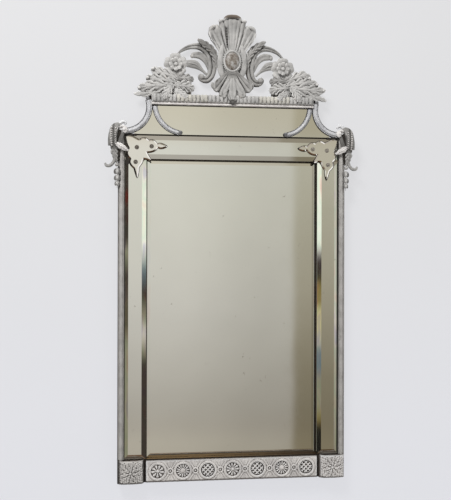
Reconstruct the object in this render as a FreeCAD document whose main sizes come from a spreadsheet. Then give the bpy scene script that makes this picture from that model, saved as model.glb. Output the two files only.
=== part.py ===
import FreeCAD, Part
import Sketcher
import os
from math import cos, pi, radians, sin, sqrt
from types import SimpleNamespace

# A Venetian wall mirror with a pine carcass, bevelled border plates and a carved crest.
# X runs to the right, Y towards the wall and Z up. The back of the mirror is at Y = 0.
# The origin lies on the back, on the centre line, at the height of the two hanger pivots.
# Heights below are counted from the underside of the base blocks and moved down at the end.

SIZES = {
    # Opening of the carcass and the wood round it
    "opening_width": 594,
    "opening_height": 1024,
    "bottom_rail_height": 79,
    "top_rail_height": 81,
    "sight_lip": 14,
    "plank_thickness": 12,
    "plate_rebate": 10,
    "plank_rebate": 26,
    "rebate_slack": 0.5,
    # Mortise and tenon joints
    "tenon_length": 45,
    "tenon_thickness": 10,
    "tenon_height": 28,
    "tenon_setback": 8,
    "tenon_cover": 2,
    "mortise_slack": 0.3,
    "peg_diameter": 8,
    "peg_inset": 18,
    "fit_gap": 0.1,
    "cut_overrun": 5,
    # Backboards and wood screws
    "tongue_length": 6,
    "tongue_thickness": 4,
    "plank_joint": 0.5,
    "plank_screw_inset": 36,
    "screw_diameter": 4,
    "screw_head_diameter": 8,
    "screw_head_height": 2.5,
    "plank_screw_length": 20,
    # Mirror plates
    "main_plate_thickness": 6,
    "plate_thickness": 5,
    "bevel_width": 15,
    "bevel_drop": 2.5,
    "plate_gap": 0.5,
    "plate_joint": 5,
    "border_width": 76,
    # Corner plates and their rosette screws
    "corner_plate_reach": 145,
    "corner_plate_thickness": 4,
    "rosette_diameter": 16,
    "rosette_height": 5,
    "rosette_shank_diameter": 4,
    "rosette_grip": 14,
    # Side mouldings, foot rail and blocks
    "moulding_width": 20,
    "moulding_proud": 14,
    "moulding_lap": 3,
    "moulding_round": 4,
    "moulding_lip_gap": 0.8,
    "rail_height": 75.5,
    "rail_lift": 2,
    "rail_proud": 18,
    "rail_chamfer": 3,
    "rail_groove": 8,
    "block_width": 89,
    "block_height": 80,
    "block_proud": 24,
    "block_chamfer": 4,
    "medallion_margin": 10.5,
    "medallion_proud": 3,
    "bead_diameter": 17,
    "bead_clearance": 5.25,
    "block_rosette_diameter": 56,
    "block_rosette_proud": 4,
    # Pediment
    "pediment_height": 100,
    "pediment_inset": 55,
    "outer_arc_inset": 21,
    "outer_arc_drop": 4,
    "outer_arc_foot_gap": 16,
    "inner_bar_inset": 11,
    "inner_arc_lift": 6,
    "inner_bar_foot_gap": 7,
    "inner_bar_run": 16,
    "bar_width": 16,
    "bar_rib": 6,
    "bar_boss_diameter": 20,
    "arc_curl_diameter": 28,
    "spandrel_drop": 14,
    "backing_trim": 2,
    "dowel_diameter": 10,
    "dowel_length": 50,
    "dowel_spacing": 150,
    # Cornice
    "cornice_clearance": 12,
    "fillet_height": 13,
    "fillet_proud": 16,
    "band_height": 25,
    "band_proud": 20,
    "gadroon_diameter": 12,
    "gadroon_pitch": 13.5,
    # Crest
    "crest_height": 278,
    "brace_width": 60,
    "brace_height": 240,
    "brace_thickness": 12,
    "brace_screw_grip": 10,
    "brace_screw_lift": 40,
    "scroll_thickness": 14,
    "cartouche_thickness": 14,
    "cartouche_width": 168,
    "cartouche_lift": 73,
    "drop_width": 144,
    "drop_hang": 36,
    "drop_proud": 10,
    "medallion_oval_width": 50,
    "medallion_oval_height": 64,
    "medallion_dome": 11,
    "medallion_rise": 47,
    "oval_rim_width": 6,
    "oval_rim_proud": 8,
    "oval_rim_gap": 0.3,
    "scroll_reach": 190,
    "scroll_band": 30,
    "scroll_eye_diameter": 32,
    "spray_clearance": 12,
    "spray_length": 212,
    "spray_height": 86,
    "flower_diameter": 72,
    "flower_inset": 62,
    "flower_lift": 98,
    "flower_thickness": 16,
    # Ears and bellflower drops
    "ear_width": 74,
    "ear_height": 172,
    "ear_overhang": 47,
    "ear_drop": 121,
    "ear_proud": 16,
    "ear_depth": 42,
    "bell_diameter": 20,
    "bell_height": 26,
    "bell_pitch": 22,
    "bell_outset": 3,
    # Hangers
    "hang_height": 1000,
    "pocket_side_gap": 2.5,
    "pocket_foot_gap": 8,
    "pocket_head_gap": 5.5,
    "strap_width": 20,
    "strap_length": 62,
    "strap_thickness": 2.5,
    "strap_screw_pitch": 26,
    "strap_screw_length": 16,
    "ring_wire": 5,
    "ring_width": 30,
    "ring_drop": 30,
    "ring_corner": 5,
    "ring_fit_gap": 0.3,
    "eye_wall": 3.2,
    "eye_length": 16,
}

# Counts, angles and outline tables. Angles turn from +X towards +Z.
PLANK_NAMES = ("left", "middle", "right")
MEDALLION_COUNT = 7
PETAL_COUNT = 5
PETAL_NOTCH_SHARE = 0.66
DOWEL_PLACE_SHARES = (-1.5, -0.5, 0.5, 1.5)
BELL_SHARES = (1.0, 0.86, 0.66)
OUTER_ARC_TOP_DEG = 164
OUTER_ARC_FOOT_DEG = 272
INNER_BAR_TOP_DEG = 356
INNER_BAR_SWEEP_DEG = 73
SPANDREL_FOOT_DEG = 65

# Each outline row holds a place across, a place up and how far the edge to the next row bows out,
# as a share of that edge's length. Rows run anticlockwise as seen from the front.
CARTOUCHE_SHARES = (
    (0.333, 0.0, 0.08), (0.548, 0.22, 0.0), (0.595, 0.415, 0.38), (0.857, 0.678, 0.42),
    (0.524, 0.815, 0.42), (0.357, 0.912, 0.3),
)
DROP_SHARES = (
    (0.0, 0.0, 0.16), (0.417, 0.294, 0.0), (0.64, 0.367, 0.3), (0.96, 0.606, 0.2),
    (0.611, 0.844, 0.1), (0.389, 1.0, 0.0),
)
SPRAY_SHARES = (
    (0.0, 0.0, 0.0), (0.82, 0.0, 0.0), (0.856, -0.16, -0.08), (1.0, -0.07, 0.08),
    (0.877, 0.18, -0.1), (0.952, 0.38, 0.3), (0.783, 0.35, -0.1), (0.815, 0.52, 0.3),
    (0.67, 0.65, -0.1), (0.726, 0.84, 0.25), (0.538, 1.0, 0.1), (0.378, 0.95, 0.0),
    (0.114, 0.95, 0.1), (0.01, 0.62, 0.0),
)
EAR_SHARES = (
    (0.0, 0.36, 0.1), (0.28, 0.17, 0.0), (0.38, 0.0, 0.0), (0.7, 0.02, 0.15), (1.0, 0.115, 0.1),
    (0.62, 0.13, 0.2), (0.72, 0.24, 0.2), (0.65, 0.44, 0.0), (0.84, 0.46, 0.2), (0.78, 0.78, 0.15),
    (0.4, 0.89, 0.3), (0.16, 0.97, 0.4), (0.02, 0.82, 0.3), (0.02, 0.7, -0.2), (0.3, 0.5, 0.1),
)
# The upper arm of a corner plate, from its outer corner to the inner point. The lower arm mirrors it.
CORNER_ARM_SHARES = (
    (0.03, 0.03, 0.0), (0.142, 0.007, -0.12), (0.331, 0.115, 0.3), (0.554, 0.149, 0.3),
    (0.764, 0.203, -0.04), (1.0, 0.277, -0.04), (0.764, 0.338, 0.3), (0.52, 0.432, 0.0),
    (0.595, 0.595, 0.0),
)
ROSETTE_SHARES = ((0.276, 0.276), (0.62, 0.248), (0.248, 0.62))
# Middle line of a C-scroll from its tail to its curl, with half the band's width.
SCROLL_SPINE_SHARES = (
    (0.98, 0.478, 0.14), (0.885, 0.568, 0.27), (0.737, 0.619, 0.37), (0.568, 0.626, 0.44),
    (0.432, 0.568, 0.5), (0.358, 0.468, 0.5), (0.326, 0.353, 0.44), (0.347, 0.252, 0.37),
    (0.437, 0.198, 0.3),
)
SCROLL_EYE_SHARES = (0.516, 0.23)

SIDES = (("left", -1), ("right", 1))


class Size:
    """A length that carries its number and the sheet formula behind it."""

    def __init__(self, value, formula):
        self.value = value
        self.formula = formula

    def join(self, mark, other, value):
        text = other.formula if isinstance(other, Size) else repr(other)
        return Size(value, f"({self.formula} {mark} {text})")

    def __add__(self, other):
        return self.join("+", other, self.value + amount(other))

    def __sub__(self, other):
        return self.join("-", other, self.value - amount(other))

    def __mul__(self, number):
        return self.join("*", number, self.value * amount(number))

    def __truediv__(self, number):
        return self.join("/", number, self.value / number)

    def __neg__(self):
        return Size(-self.value, f"(-1 * {self.formula})")

    def root(self):
        return Size(sqrt(self.value), f"sqrt({self.formula})")


def amount(size):
    return size.value if isinstance(size, Size) else size


doc = FreeCAD.newDocument("venetian_mirror")
sheet = doc.addObject("Spreadsheet::Sheet", "Sizes")
for row, (alias, number) in enumerate(SIZES.items(), start=1):
    sheet.set(f"A{row}", alias)
    sheet.set(f"B{row}", str(number))
    sheet.setAlias(f"B{row}", alias)
doc.recompute()
s = SimpleNamespace(**{alias: Size(float(sheet.get(alias)), f"Sizes.{alias}") for alias in SIZES})
ZERO = Size(0.0, "0")

# Turns a shape drawn in its own XY plane to face the room: its Y goes up and its Z to the front.
FACING = FreeCAD.Rotation(FreeCAD.Vector(1, 0, 0), 90)
nodes = {}

# Main levels across, in depth and in height
half_opening = s.opening_width / 2
border_edge = half_opening + s.border_width
half_body = border_edge + s.moulding_width
lap_edge = border_edge - s.moulding_lap
corner_edge = lap_edge - s.plate_gap
sill = s.bottom_rail_height
head = sill + s.opening_height
carcass_top = head + s.top_rail_height
corner_top = carcass_top - s.moulding_lap - s.plate_gap
plate_front = s.plank_thickness + s.main_plate_thickness
carcass_depth = plate_front + s.sight_lip
border_front = carcass_depth + s.plate_thickness
moulding_front = carcass_depth + s.moulding_proud
cornice_foot = carcass_top + s.pediment_height
band_foot = cornice_foot + s.fillet_height
crest_foot = band_foot + s.band_height
scroll_front = s.brace_thickness + s.scroll_thickness
cartouche_front = scroll_front + s.cartouche_thickness
gadroon_front = carcass_depth + s.band_proud + s.gadroon_diameter / 2


def node(label, item):
    item.Label = label
    nodes[label] = item
    return item


def bind(item, **sizes):
    for name, size in sizes.items():
        item.setExpression(name, size.formula)


def place(item, x, y, z, turn=None):
    """Put an item at a point whose height counts from the base blocks' underside."""
    if turn:
        item.Placement = FreeCAD.Placement(FreeCAD.Vector(), turn)
    for axis, size in (("x", x), ("y", y), ("z", z - s.hang_height)):
        item.setExpression(f"Placement.Base.{axis}", size.formula)
    return item


def box(name, across, depth, up):
    """A block between two places across, two depths behind its front and two heights."""
    item = doc.addObject("Part::Box", name)
    bind(item, Length=across[1] - across[0], Width=depth[1] - depth[0], Height=up[1] - up[0])
    return place(item, across[0], -depth[1], up[0])


def rod(name, x, z, back, radius, length):
    """A round bar that runs from a depth towards the front."""
    item = doc.addObject("Part::Cylinder", name)
    bind(item, Radius=radius, Height=length)
    return place(item, x, -back, z, FACING)


def dowel(name, x, depth, foot, radius, length):
    """A round bar that stands upright."""
    item = doc.addObject("Part::Cylinder", name)
    bind(item, Radius=radius, Height=length)
    return place(item, x, -depth, foot)


def dome(name, x, z, back, half_width, half_height, rise):
    """Half an ellipsoid with its flat side to the back."""
    item = doc.addObject("Part::Ellipsoid", name)
    item.Angle1 = 0
    bind(item, Radius1=rise, Radius2=half_width, Radius3=half_height)
    return place(item, x, -back, z, FACING)


def taper(name, x, z, back, wide, narrow, length):
    item = doc.addObject("Part::Cone", name)
    bind(item, Radius1=wide, Radius2=narrow, Height=length)
    return place(item, x, -back, z, FACING)


def sector(name, x, z, back, inner, outer, length, start_deg, sweep_deg):
    """Part of a flat ring round a point, seen from the front."""
    turn = FACING.multiply(FreeCAD.Rotation(FreeCAD.Vector(0, 0, 1), start_deg))
    disc = rod(name + "_disc", x, z, back, outer, length)
    disc.Angle = sweep_deg
    place(disc, x, -back, z, turn)
    hole = rod(name + "_hole", x, z, back - s.cut_overrun, inner, length + s.cut_overrun * 2)
    return cut(name, disc, [hole])


def fuse(name, items):
    item = doc.addObject("Part::MultiFuse", name)
    item.Shapes = items
    return item


def cut(name, base, tools):
    item = doc.addObject("Part::Cut", name)
    item.Base = base
    item.Tool = tools[0] if len(tools) == 1 else fuse(name + "_tools", tools)
    return item


def group(name, items):
    item = doc.addObject("Part::Compound", name)
    item.Links = items
    return item


def screw(name, x, z, back, length, gap=ZERO):
    """A countersunk screw driven from the back, or with a gap the hole that takes it."""
    head_radius = s.screw_head_diameter / 2 + gap
    shank_radius = s.screw_diameter / 2 + gap
    cone = taper(name + "_head", x, z, back, head_radius, shank_radius, s.screw_head_height)
    shank = rod(name + "_shank", x, z, back, shank_radius, length + gap)
    return fuse(name, [cone, shank])


def sided(side, low, high):
    """A range across on the right side, or its mirror image on the left."""
    return (low, high) if side > 0 else (-high, -low)


def outline_body(name, corners, thickness):
    """A pad on an outline whose corners hold a place across, a place up and the next edge's bend."""
    body = doc.addObject("PartDesign::Body", name)
    plane = next(item for item in body.Origin.OriginFeatures if item.Role == "XY_Plane")
    sketch = body.newObject("Sketcher::SketchObject", name + "_outline")
    sketch.AttachmentSupport = [(plane, "")]
    sketch.MapMode = "FlatFace"

    def rule(kind, *parts):
        """Add a sketch rule, tied to the sheet when its last part is a size."""
        size = parts[-1]
        if not isinstance(size, Size):
            sketch.addConstraint(Sketcher.Constraint(kind, *parts))
            return
        index = sketch.addConstraint(Sketcher.Constraint(kind, *parts[:-1], size.value))
        sketch.setExpression(f"Constraints[{index}]", size.formula)

    edges = []
    for corner, after in zip(corners, corners[1:] + corners[:1]):
        start = FreeCAD.Vector(corner[0].value, corner[1].value, 0)
        end = FreeCAD.Vector(after[0].value, after[1].value, 0)
        if corner[2] is None:
            edges.append((sketch.addGeometry(Part.LineSegment(start, end), False), 1, 2))
            continue
        bend_x, bend_y, radius = corner[2]
        centre = FreeCAD.Vector(bend_x.value, bend_y.value, 0)
        circle = Part.Circle(centre, FreeCAD.Vector(0, 0, 1), radius.value)
        first, last = circle.parameter(start), circle.parameter(end)
        forward = (last - first) % (2 * pi) < pi
        ends = (first, last) if forward else (last, first)
        edge = sketch.addGeometry(Part.ArcOfCircle(circle, *ends), False)
        edges.append((edge, 1, 2) if forward else (edge, 2, 1))
        rule("Radius", edge, radius)
    for index, corner in enumerate(corners):
        edge, first, _ = edges[index]
        before, _, last = edges[index - 1]
        rule("Coincident", before, last, edge, first)
        rule("DistanceX", -1, 1, edge, first, corner[0])
        rule("DistanceY", -1, 1, edge, first, corner[1])
    pad = body.newObject("PartDesign::Pad", name + "_pad")
    pad.Profile = sketch
    bind(pad, Length=thickness)
    return body


def facing_plate(name, corners, back, thickness):
    """A flat piece drawn as it is seen from the front."""
    return place(outline_body(name, corners, thickness), ZERO, -back, ZERO, FACING)


def bevelled_plate(name, across, up, back, thickness, bevel, drop):
    """A rectangular piece whose front edges slope down all round."""
    corners = [(across[0], up[0], None), (across[1], up[0], None)]
    corners += [(across[1], up[1], None), (across[0], up[1], None)]
    body = facing_plate(name, corners, back, thickness)
    doc.recompute()
    pad = body.Tip
    low_point = thickness.value - Part.Precision.confusion()
    front = [f"Edge{index}" for index, edge in enumerate(pad.Shape.Edges, start=1)
             if all(vertex.Z > low_point for vertex in edge.Vertexes)]
    chamfer = body.newObject("PartDesign::Chamfer", name + "_bevel")
    chamfer.Base = (pad, front)
    chamfer.ChamferType = "Two distances"
    bind(chamfer, Size=drop, Size2=bevel)
    return body


def feature(name, shape):
    """Keep a shape made in code, with its heights counted as everywhere else."""
    item = doc.addObject("Part::Feature", name)
    item.Shape = shape
    item.Placement = FreeCAD.Placement(FreeCAD.Vector(0, 0, -s.hang_height.value), FreeCAD.Rotation())
    return item


def mirrored(half, flip):
    """Complete half an outline with its image, where flip turns a place into its image."""
    rows = list(half)
    image = []
    for index in range(len(half) - 1, -1, -1):
        bow = half[index - 1][2] if index else 0.0
        image.append((*flip(*half[index][:2]), bow))
    if image[0][:2] == rows[-1][:2]:
        rows[-1] = image.pop(0)
    if image[-1][:2] == rows[0][:2]:
        image.pop()
    return rows + image


def carved_board(rows, foot_x, foot_z, width, height, back, front):
    """A board whose outline follows rows of shares, each edge straight or bowed to an arc."""
    foot = FreeCAD.Vector(foot_x.value, -back.value, foot_z.value)
    points = [foot + FreeCAD.Vector(across * width.value, 0, up * height.value) for across, up, _ in rows]
    edges = []
    for (_, _, bow), start, end in zip(rows, points, points[1:] + points[:1]):
        chord = end - start
        middle = (start + end) * 0.5 + FreeCAD.Vector(chord.z, 0, -chord.x) * bow
        edges.append(Part.Arc(start, middle, end).toShape() if bow else Part.makeLine(start, end))
    return Part.Face(Part.Wire(edges)).extrude(FreeCAD.Vector(0, back.value - front.value, 0))


def on_side(shape, side):
    return shape if side > 0 else shape.mirror(FreeCAD.Vector(), FreeCAD.Vector(1, 0, 0))


def toward(side, size):
    return size if side > 0 else -size


# Rosette places, shared by the corner plates, the border plates and the carcass
def rosette_places(side):
    places = []
    for across, down in ROSETTE_SHARES:
        x = toward(side, corner_edge - s.corner_plate_reach * across)
        places.append((x, corner_top - s.corner_plate_reach * down))
    return places


def rosette_holes(name, side):
    """Holes for a side's rosette shanks, from the carcass out past the front."""
    radius = s.rosette_shank_diameter / 2 + s.fit_gap
    back = carcass_depth - s.rosette_grip - s.fit_gap
    length = s.rosette_grip + s.plate_thickness + s.corner_plate_thickness + s.cut_overrun
    return [rod(f"{name}_rosette_hole_{count}", x, z, back, radius, length)
            for count, (x, z) in enumerate(rosette_places(side))]


# Carcass: two stiles and two rails, rebated behind for the main plate and the backboards
tenon_depths = (carcass_depth - s.tenon_cover - s.tenon_thickness, carcass_depth - s.tenon_cover)
tenon_heights = {
    "bottom": (s.tenon_setback, s.tenon_setback + s.tenon_height),
    "top": (carcass_top - s.tenon_setback - s.tenon_height, carcass_top - s.tenon_setback),
}
past_back = -s.cut_overrun
hanger_x = (half_opening + s.plank_rebate + half_body) / 2
ring_radius = s.ring_wire / 2
eye_radius = ring_radius + s.ring_fit_gap + s.eye_wall
pocket_depth = eye_radius * 2
pocket_half = s.ring_width / 2 + ring_radius + s.pocket_side_gap
pocket_span = (s.hang_height - s.strap_length - s.pocket_foot_gap,
               s.hang_height + s.ring_drop + ring_radius + s.pocket_head_gap)
strap_depth = pocket_depth - s.strap_thickness
strap_screw_heights = [s.hang_height - s.strap_length + s.strap_width / 2]
strap_screw_heights.append(strap_screw_heights[0] + s.strap_screw_pitch)
plank_screw_seat = (s.plank_rebate + s.plate_rebate) / 2
plank_screw_rows = {"bottom": sill - plank_screw_seat, "top": head + plank_screw_seat}
plank_span = s.opening_width + s.plank_rebate * 2 - s.rebate_slack * 2
plank_width = plank_span / len(PLANK_NAMES)
plank_left_edges = [plank_width * index - plank_span / 2 for index in range(len(PLANK_NAMES))]


def peg_bar(name, side, level, gap):
    x = toward(side, half_opening + s.peg_inset)
    z = (tenon_heights[level][0] + tenon_heights[level][1]) / 2
    return rod(name, x, z, ZERO, s.peg_diameter / 2 + gap, carcass_depth - s.tenon_cover)


def plank_screws(name, index, level, gap=ZERO):
    """The two screws at one end of a backboard, or the holes that take them."""
    middle = plank_left_edges[index] + plank_width / 2
    reach = plank_width / 2 - s.plank_screw_inset
    return [screw(f"{name}_{index}_{level}_{count}", middle + offset, plank_screw_rows[level], ZERO,
                  s.plank_screw_length, gap) for count, offset in enumerate((-reach, reach))]


def strap_screws(name, side, gap=ZERO):
    return [screw(f"{name}_{count}", toward(side, hanger_x), z, strap_depth, s.strap_screw_length, gap)
            for count, z in enumerate(strap_screw_heights)]


def carcass_stile(label, side):
    name = "stile_" + label
    across = sided(side, half_opening, half_body)
    blank = box(name + "_blank", across, (ZERO, carcass_depth), (ZERO, carcass_top))
    inside = half_opening - s.cut_overrun
    tools = [
        box(name + "_plate_rebate", sided(side, inside, half_opening + s.plate_rebate),
            (past_back, plate_front), (sill - s.plate_rebate, head + s.plate_rebate)),
        box(name + "_plank_rebate", sided(side, inside, half_opening + s.plank_rebate),
            (past_back, s.plank_thickness), (sill - s.plank_rebate, head + s.plank_rebate)),
        box(name + "_pocket", sided(side, hanger_x - pocket_half, hanger_x + pocket_half),
            (past_back, pocket_depth), pocket_span),
    ]
    for level, (low, high) in tenon_heights.items():
        mortise_end = half_opening + s.tenon_length + s.mortise_slack
        depths = (tenon_depths[0] - s.mortise_slack, tenon_depths[1] + s.mortise_slack)
        tools.append(box(f"{name}_mortise_{level}", sided(side, inside, mortise_end), depths,
                         (low - s.mortise_slack, high + s.mortise_slack)))
        tools.append(peg_bar(f"{name}_peg_hole_{level}", side, level, s.fit_gap))
    tools += strap_screws(name + "_strap_hole", side, s.fit_gap)
    tools += rosette_holes(name, side)
    node("carcass_stile_" + label, cut(name, blank, tools))


def carcass_rail(level, low, high, plate_rebate, plank_rebate):
    name = "rail_" + level
    across = (-half_opening, half_opening)
    pieces = [box(name + "_blank", across, (ZERO, carcass_depth), (low, high))]
    tools = [
        box(name + "_plate_rebate", across, (past_back, plate_front), plate_rebate),
        box(name + "_plank_rebate", across, (past_back, s.plank_thickness), plank_rebate),
    ]
    for label, side in SIDES:
        tenon = sided(side, half_opening, half_opening + s.tenon_length)
        pieces.append(box(f"{name}_tenon_{label}", tenon, tenon_depths, tenon_heights[level]))
        tools.append(peg_bar(f"{name}_peg_hole_{label}", side, level, s.fit_gap))
        if level == "top":
            tools += rosette_holes(f"{name}_{label}", side)
    for index in range(len(PLANK_NAMES)):
        tools += plank_screws(name + "_screw_hole", index, level, s.fit_gap)
    if level == "top":
        tools += pediment_dowels(name + "_dowel_hole", s.fit_gap)
    node(f"carcass_{level}_rail", cut(name, fuse(name + "_joined", pieces), tools))


def pediment_dowels(name, gap):
    depth = (s.brace_thickness + carcass_depth) / 2
    foot = carcass_top - s.dowel_length / 2 - gap
    return [dowel(f"{name}_{index}", s.dowel_spacing * share, depth, foot, s.dowel_diameter / 2 + gap,
                  s.dowel_length + gap * 2) for index, share in enumerate(DOWEL_PLACE_SHARES)]


for label, side in SIDES:
    carcass_stile(label, side)
carcass_rail("bottom", ZERO, sill, (sill - s.plate_rebate, sill + s.cut_overrun),
             (sill - s.plank_rebate, sill + s.cut_overrun))
carcass_rail("top", head, carcass_top, (head - s.cut_overrun, head + s.plate_rebate),
             (head - s.cut_overrun, head + s.plank_rebate))
node("tenon_pegs", group("pegs", [peg_bar(f"peg_{label}_{level}", side, level, ZERO)
                                  for label, side in SIDES for level in tenon_heights]))

# Backboards: three upright planks, tongued and grooved, screwed to the rails
plank_heights = (sill - s.plank_rebate + s.rebate_slack, head + s.plank_rebate - s.rebate_slack)
tongue_back = (s.plank_thickness - s.tongue_thickness) / 2
tongue_depths = (tongue_back, tongue_back + s.tongue_thickness)
for index, label in enumerate(PLANK_NAMES):
    name = "plank_" + label
    left = plank_left_edges[index]
    right = left + plank_width - s.plank_joint
    board = box(name + "_board", (left, right), (ZERO, s.plank_thickness), plank_heights)
    tools = plank_screws(name + "_hole", index, "bottom", s.fit_gap)
    tools += plank_screws(name + "_hole", index, "top", s.fit_gap)
    if index < len(PLANK_NAMES) - 1:
        tongue = box(name + "_tongue", (right, right + s.tongue_length), tongue_depths, plank_heights)
        board = fuse(name + "_joined", [board, tongue])
    if index:
        groove_depths = (tongue_depths[0] - s.fit_gap, tongue_depths[1] + s.fit_gap)
        groove_heights = (plank_heights[0] - s.cut_overrun, plank_heights[1] + s.cut_overrun)
        groove_across = (left - s.cut_overrun, left + s.tongue_length)
        tools.append(box(name + "_groove", groove_across, groove_depths, groove_heights))
    node("back_plank_" + label, cut(name, board, tools))
node("backboard_screws", group("plank_screw_set", [
    item for index in range(len(PLANK_NAMES)) for level in plank_screw_rows
    for item in plank_screws("plank_screw", index, level)]))

# Mirror plates: the main one in its rebate, the border ones on the front of the carcass
hidden_edge = s.plate_rebate - s.rebate_slack
plate_half = half_opening + hidden_edge
node("main_plate", bevelled_plate(
    "main_mirror", (-plate_half, plate_half), (sill - hidden_edge, head + hidden_edge),
    s.plank_thickness, s.main_plate_thickness, s.bevel_width + hidden_edge, s.bevel_drop))
border_side = (half_opening, border_edge - s.plate_gap)


def border_plate(label, across, up, holes):
    mirror = bevelled_plate("border_mirror_" + label, across, up, carcass_depth, s.plate_thickness,
                            s.bevel_width, s.bevel_drop)
    node("border_plate_" + label, cut("border_" + label, mirror, holes))


top_holes = []
for label, side in SIDES:
    border_plate(label, sided(side, *border_side), (s.block_height + s.plate_gap, head - s.plate_gap),
                 rosette_holes("border_" + label, side))
    top_holes += rosette_holes("border_top_" + label, side)
border_plate("top", (-border_side[1], border_side[1]), (head, carcass_top - s.plate_joint / 2), top_holes)

# Corner plates over the border's upper corners, each held by three rosette screws
corner_rows = mirrored(CORNER_ARM_SHARES, lambda across, down: (down, across))
corner_rows = [(-across, -down, bow) for across, down, bow in corner_rows]
corner_front = border_front + s.corner_plate_thickness
corner_board = carved_board(corner_rows, corner_edge, corner_top, s.corner_plate_reach,
                            s.corner_plate_reach, border_front, corner_front)
rosette_radius = s.rosette_diameter / 2
for label, side in SIDES:
    blank = feature("corner_glass_" + label, on_side(corner_board, side))
    holes = rosette_holes("corner_" + label, side)
    node("corner_plate_" + label, cut("corner_" + label, blank, holes))
    screws = []
    for count, (x, z) in enumerate(rosette_places(side)):
        name = f"rosette_{label}_{count}"
        button = dome(name + "_button", x, z, corner_front, rosette_radius, rosette_radius, s.rosette_height)
        shank = rod(name + "_shank", x, z, carcass_depth - s.rosette_grip, s.rosette_shank_diameter / 2,
                    s.rosette_grip + s.plate_thickness + s.corner_plate_thickness)
        screws.append(fuse(name, [button, shank]))
    node("corner_rosettes_" + label, group("rosettes_" + label, screws))

# Side mouldings: upright strips that lap the outer edge of the side plates
lip_depth = border_front - s.bevel_drop + s.moulding_lip_gap
round_depth = moulding_front - s.moulding_round
for label, side in SIDES:
    outer_bend = (toward(side, half_body - s.moulding_round), -round_depth, s.moulding_round)
    inner_bend = (toward(side, lap_edge + s.moulding_round), -round_depth, s.moulding_round)
    corners = [
        (toward(side, border_edge), -carcass_depth, None),
        (toward(side, half_body), -carcass_depth, None),
        (toward(side, half_body), -round_depth, outer_bend),
        (toward(side, half_body - s.moulding_round), -moulding_front, None),
        (toward(side, lap_edge + s.moulding_round), -moulding_front, inner_bend),
        (toward(side, lap_edge), -round_depth, None),
        (toward(side, lap_edge), -lip_depth, None),
        (toward(side, border_edge), -lip_depth, None),
    ]
    strip = outline_body("moulding_" + label, corners, carcass_top - s.block_height)
    node("stile_moulding_" + label, place(strip, ZERO, ZERO, s.block_height))

# Foot: a carved rail between two blocks, with roundels, rings and a flower on each block
block_inside = half_body - s.block_width
rail_half = block_inside - s.rail_groove
rail_front = carcass_depth + s.rail_proud
rail_middle = s.rail_lift + s.rail_height / 2
node("base_rail", bevelled_plate(
    "foot_rail", (-rail_half, rail_half), (s.rail_lift, s.rail_lift + s.rail_height),
    carcass_depth, s.rail_proud, s.rail_chamfer, s.rail_chamfer))
for label, side in SIDES:
    node("base_block_" + label, bevelled_plate(
        "foot_block_" + label, sided(side, block_inside, half_body), (ZERO, s.block_height),
        carcass_depth, s.block_proud, s.block_chamfer, s.block_chamfer))
    block_middle = toward(side, half_body - s.block_width / 2)
    node("block_rosette_" + label, rod(
        "block_flower_" + label, block_middle, s.block_height / 2, carcass_depth + s.block_proud,
        s.block_rosette_diameter / 2, s.block_rosette_proud))
roundels = []
rings = []
ring_room = s.bead_diameter + s.bead_clearance * 2
roundel_room = (rail_half - s.medallion_margin) * 2 - ring_room * (MEDALLION_COUNT - 1)
medallion_radius = roundel_room / MEDALLION_COUNT / 2
medallion_pitch = medallion_radius * 2 + ring_room
for index in range(MEDALLION_COUNT):
    x = medallion_pitch * (index - (MEDALLION_COUNT - 1) / 2)
    roundels.append(rod(f"roundel_{index}", x, rail_middle, rail_front, medallion_radius, s.medallion_proud))
    if index:
        rings.append(rod(f"rail_ring_{index}", x - medallion_pitch / 2, rail_middle, rail_front,
                         s.bead_diameter / 2, s.medallion_proud))
node("rail_medallions", group("roundels", roundels))
node("rail_beads", group("rail_rings", rings))

# Pediment: a backing board with hollowed ends, three mirrors, and mouldings over their edges
outer_arc_radius = s.pediment_height - s.outer_arc_drop - s.outer_arc_foot_gap
outer_arc_offset = half_body - s.outer_arc_inset
inner_arc_radius = s.pediment_height + s.inner_arc_lift - s.inner_bar_foot_gap
cornice_half = outer_arc_offset - outer_arc_radius - s.cornice_clearance
inner_arc_offset = cornice_half - s.inner_bar_inset - inner_arc_radius
inner_bar_foot = inner_arc_offset + s.inner_bar_run
arc_height = cornice_foot - s.outer_arc_drop
bar_height = cornice_foot + s.inner_arc_lift
hollow_radius = outer_arc_radius - s.bar_rib + s.backing_trim
pediment_half = half_body - s.pediment_inset
backing = box("backing_blank", (-pediment_half, pediment_half), (s.brace_thickness, carcass_depth),
              (carcass_top, crest_foot))
tools = pediment_dowels("backing_dowel_hole", s.fit_gap)
for label, side in SIDES:
    tools.append(rod("backing_hollow_" + label, toward(side, outer_arc_offset), arc_height,
                     s.brace_thickness - s.cut_overrun, hollow_radius, carcass_depth))
    shoulder = outer_arc_offset - hollow_radius
    tools.append(box("backing_shoulder_" + label, sided(side, shoulder, pediment_half + s.cut_overrun),
                     (ZERO, carcass_depth + s.cut_overrun), (arc_height, crest_foot + s.cut_overrun)))
cartouche_foot = crest_foot + s.cartouche_lift
backing_screw_length = s.brace_thickness + s.brace_screw_grip
cartouche_screw_length = scroll_front + s.brace_screw_grip
brace_screw_seats = [
    (carcass_top + s.brace_screw_lift, backing_screw_length),
    (carcass_top + s.brace_screw_lift * 2, backing_screw_length),
    (cartouche_foot + s.brace_screw_lift / 2, cartouche_screw_length),
    (cartouche_foot + s.brace_screw_lift, cartouche_screw_length),
]
BACKING_PICKS = (0, 1)
CARTOUCHE_PICKS = (2, 3)


def brace_screws(name, picks, gap=ZERO):
    return [screw(f"{name}_{pick}", ZERO, brace_screw_seats[pick][0], ZERO, brace_screw_seats[pick][1], gap)
            for pick in picks]


tools += brace_screws("backing_screw_hole", BACKING_PICKS, s.fit_gap)
node("pediment_backing", cut("backing", backing, tools))
node("pediment_dowels", group("dowel_set", pediment_dowels("pediment_dowel", ZERO)))

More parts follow.
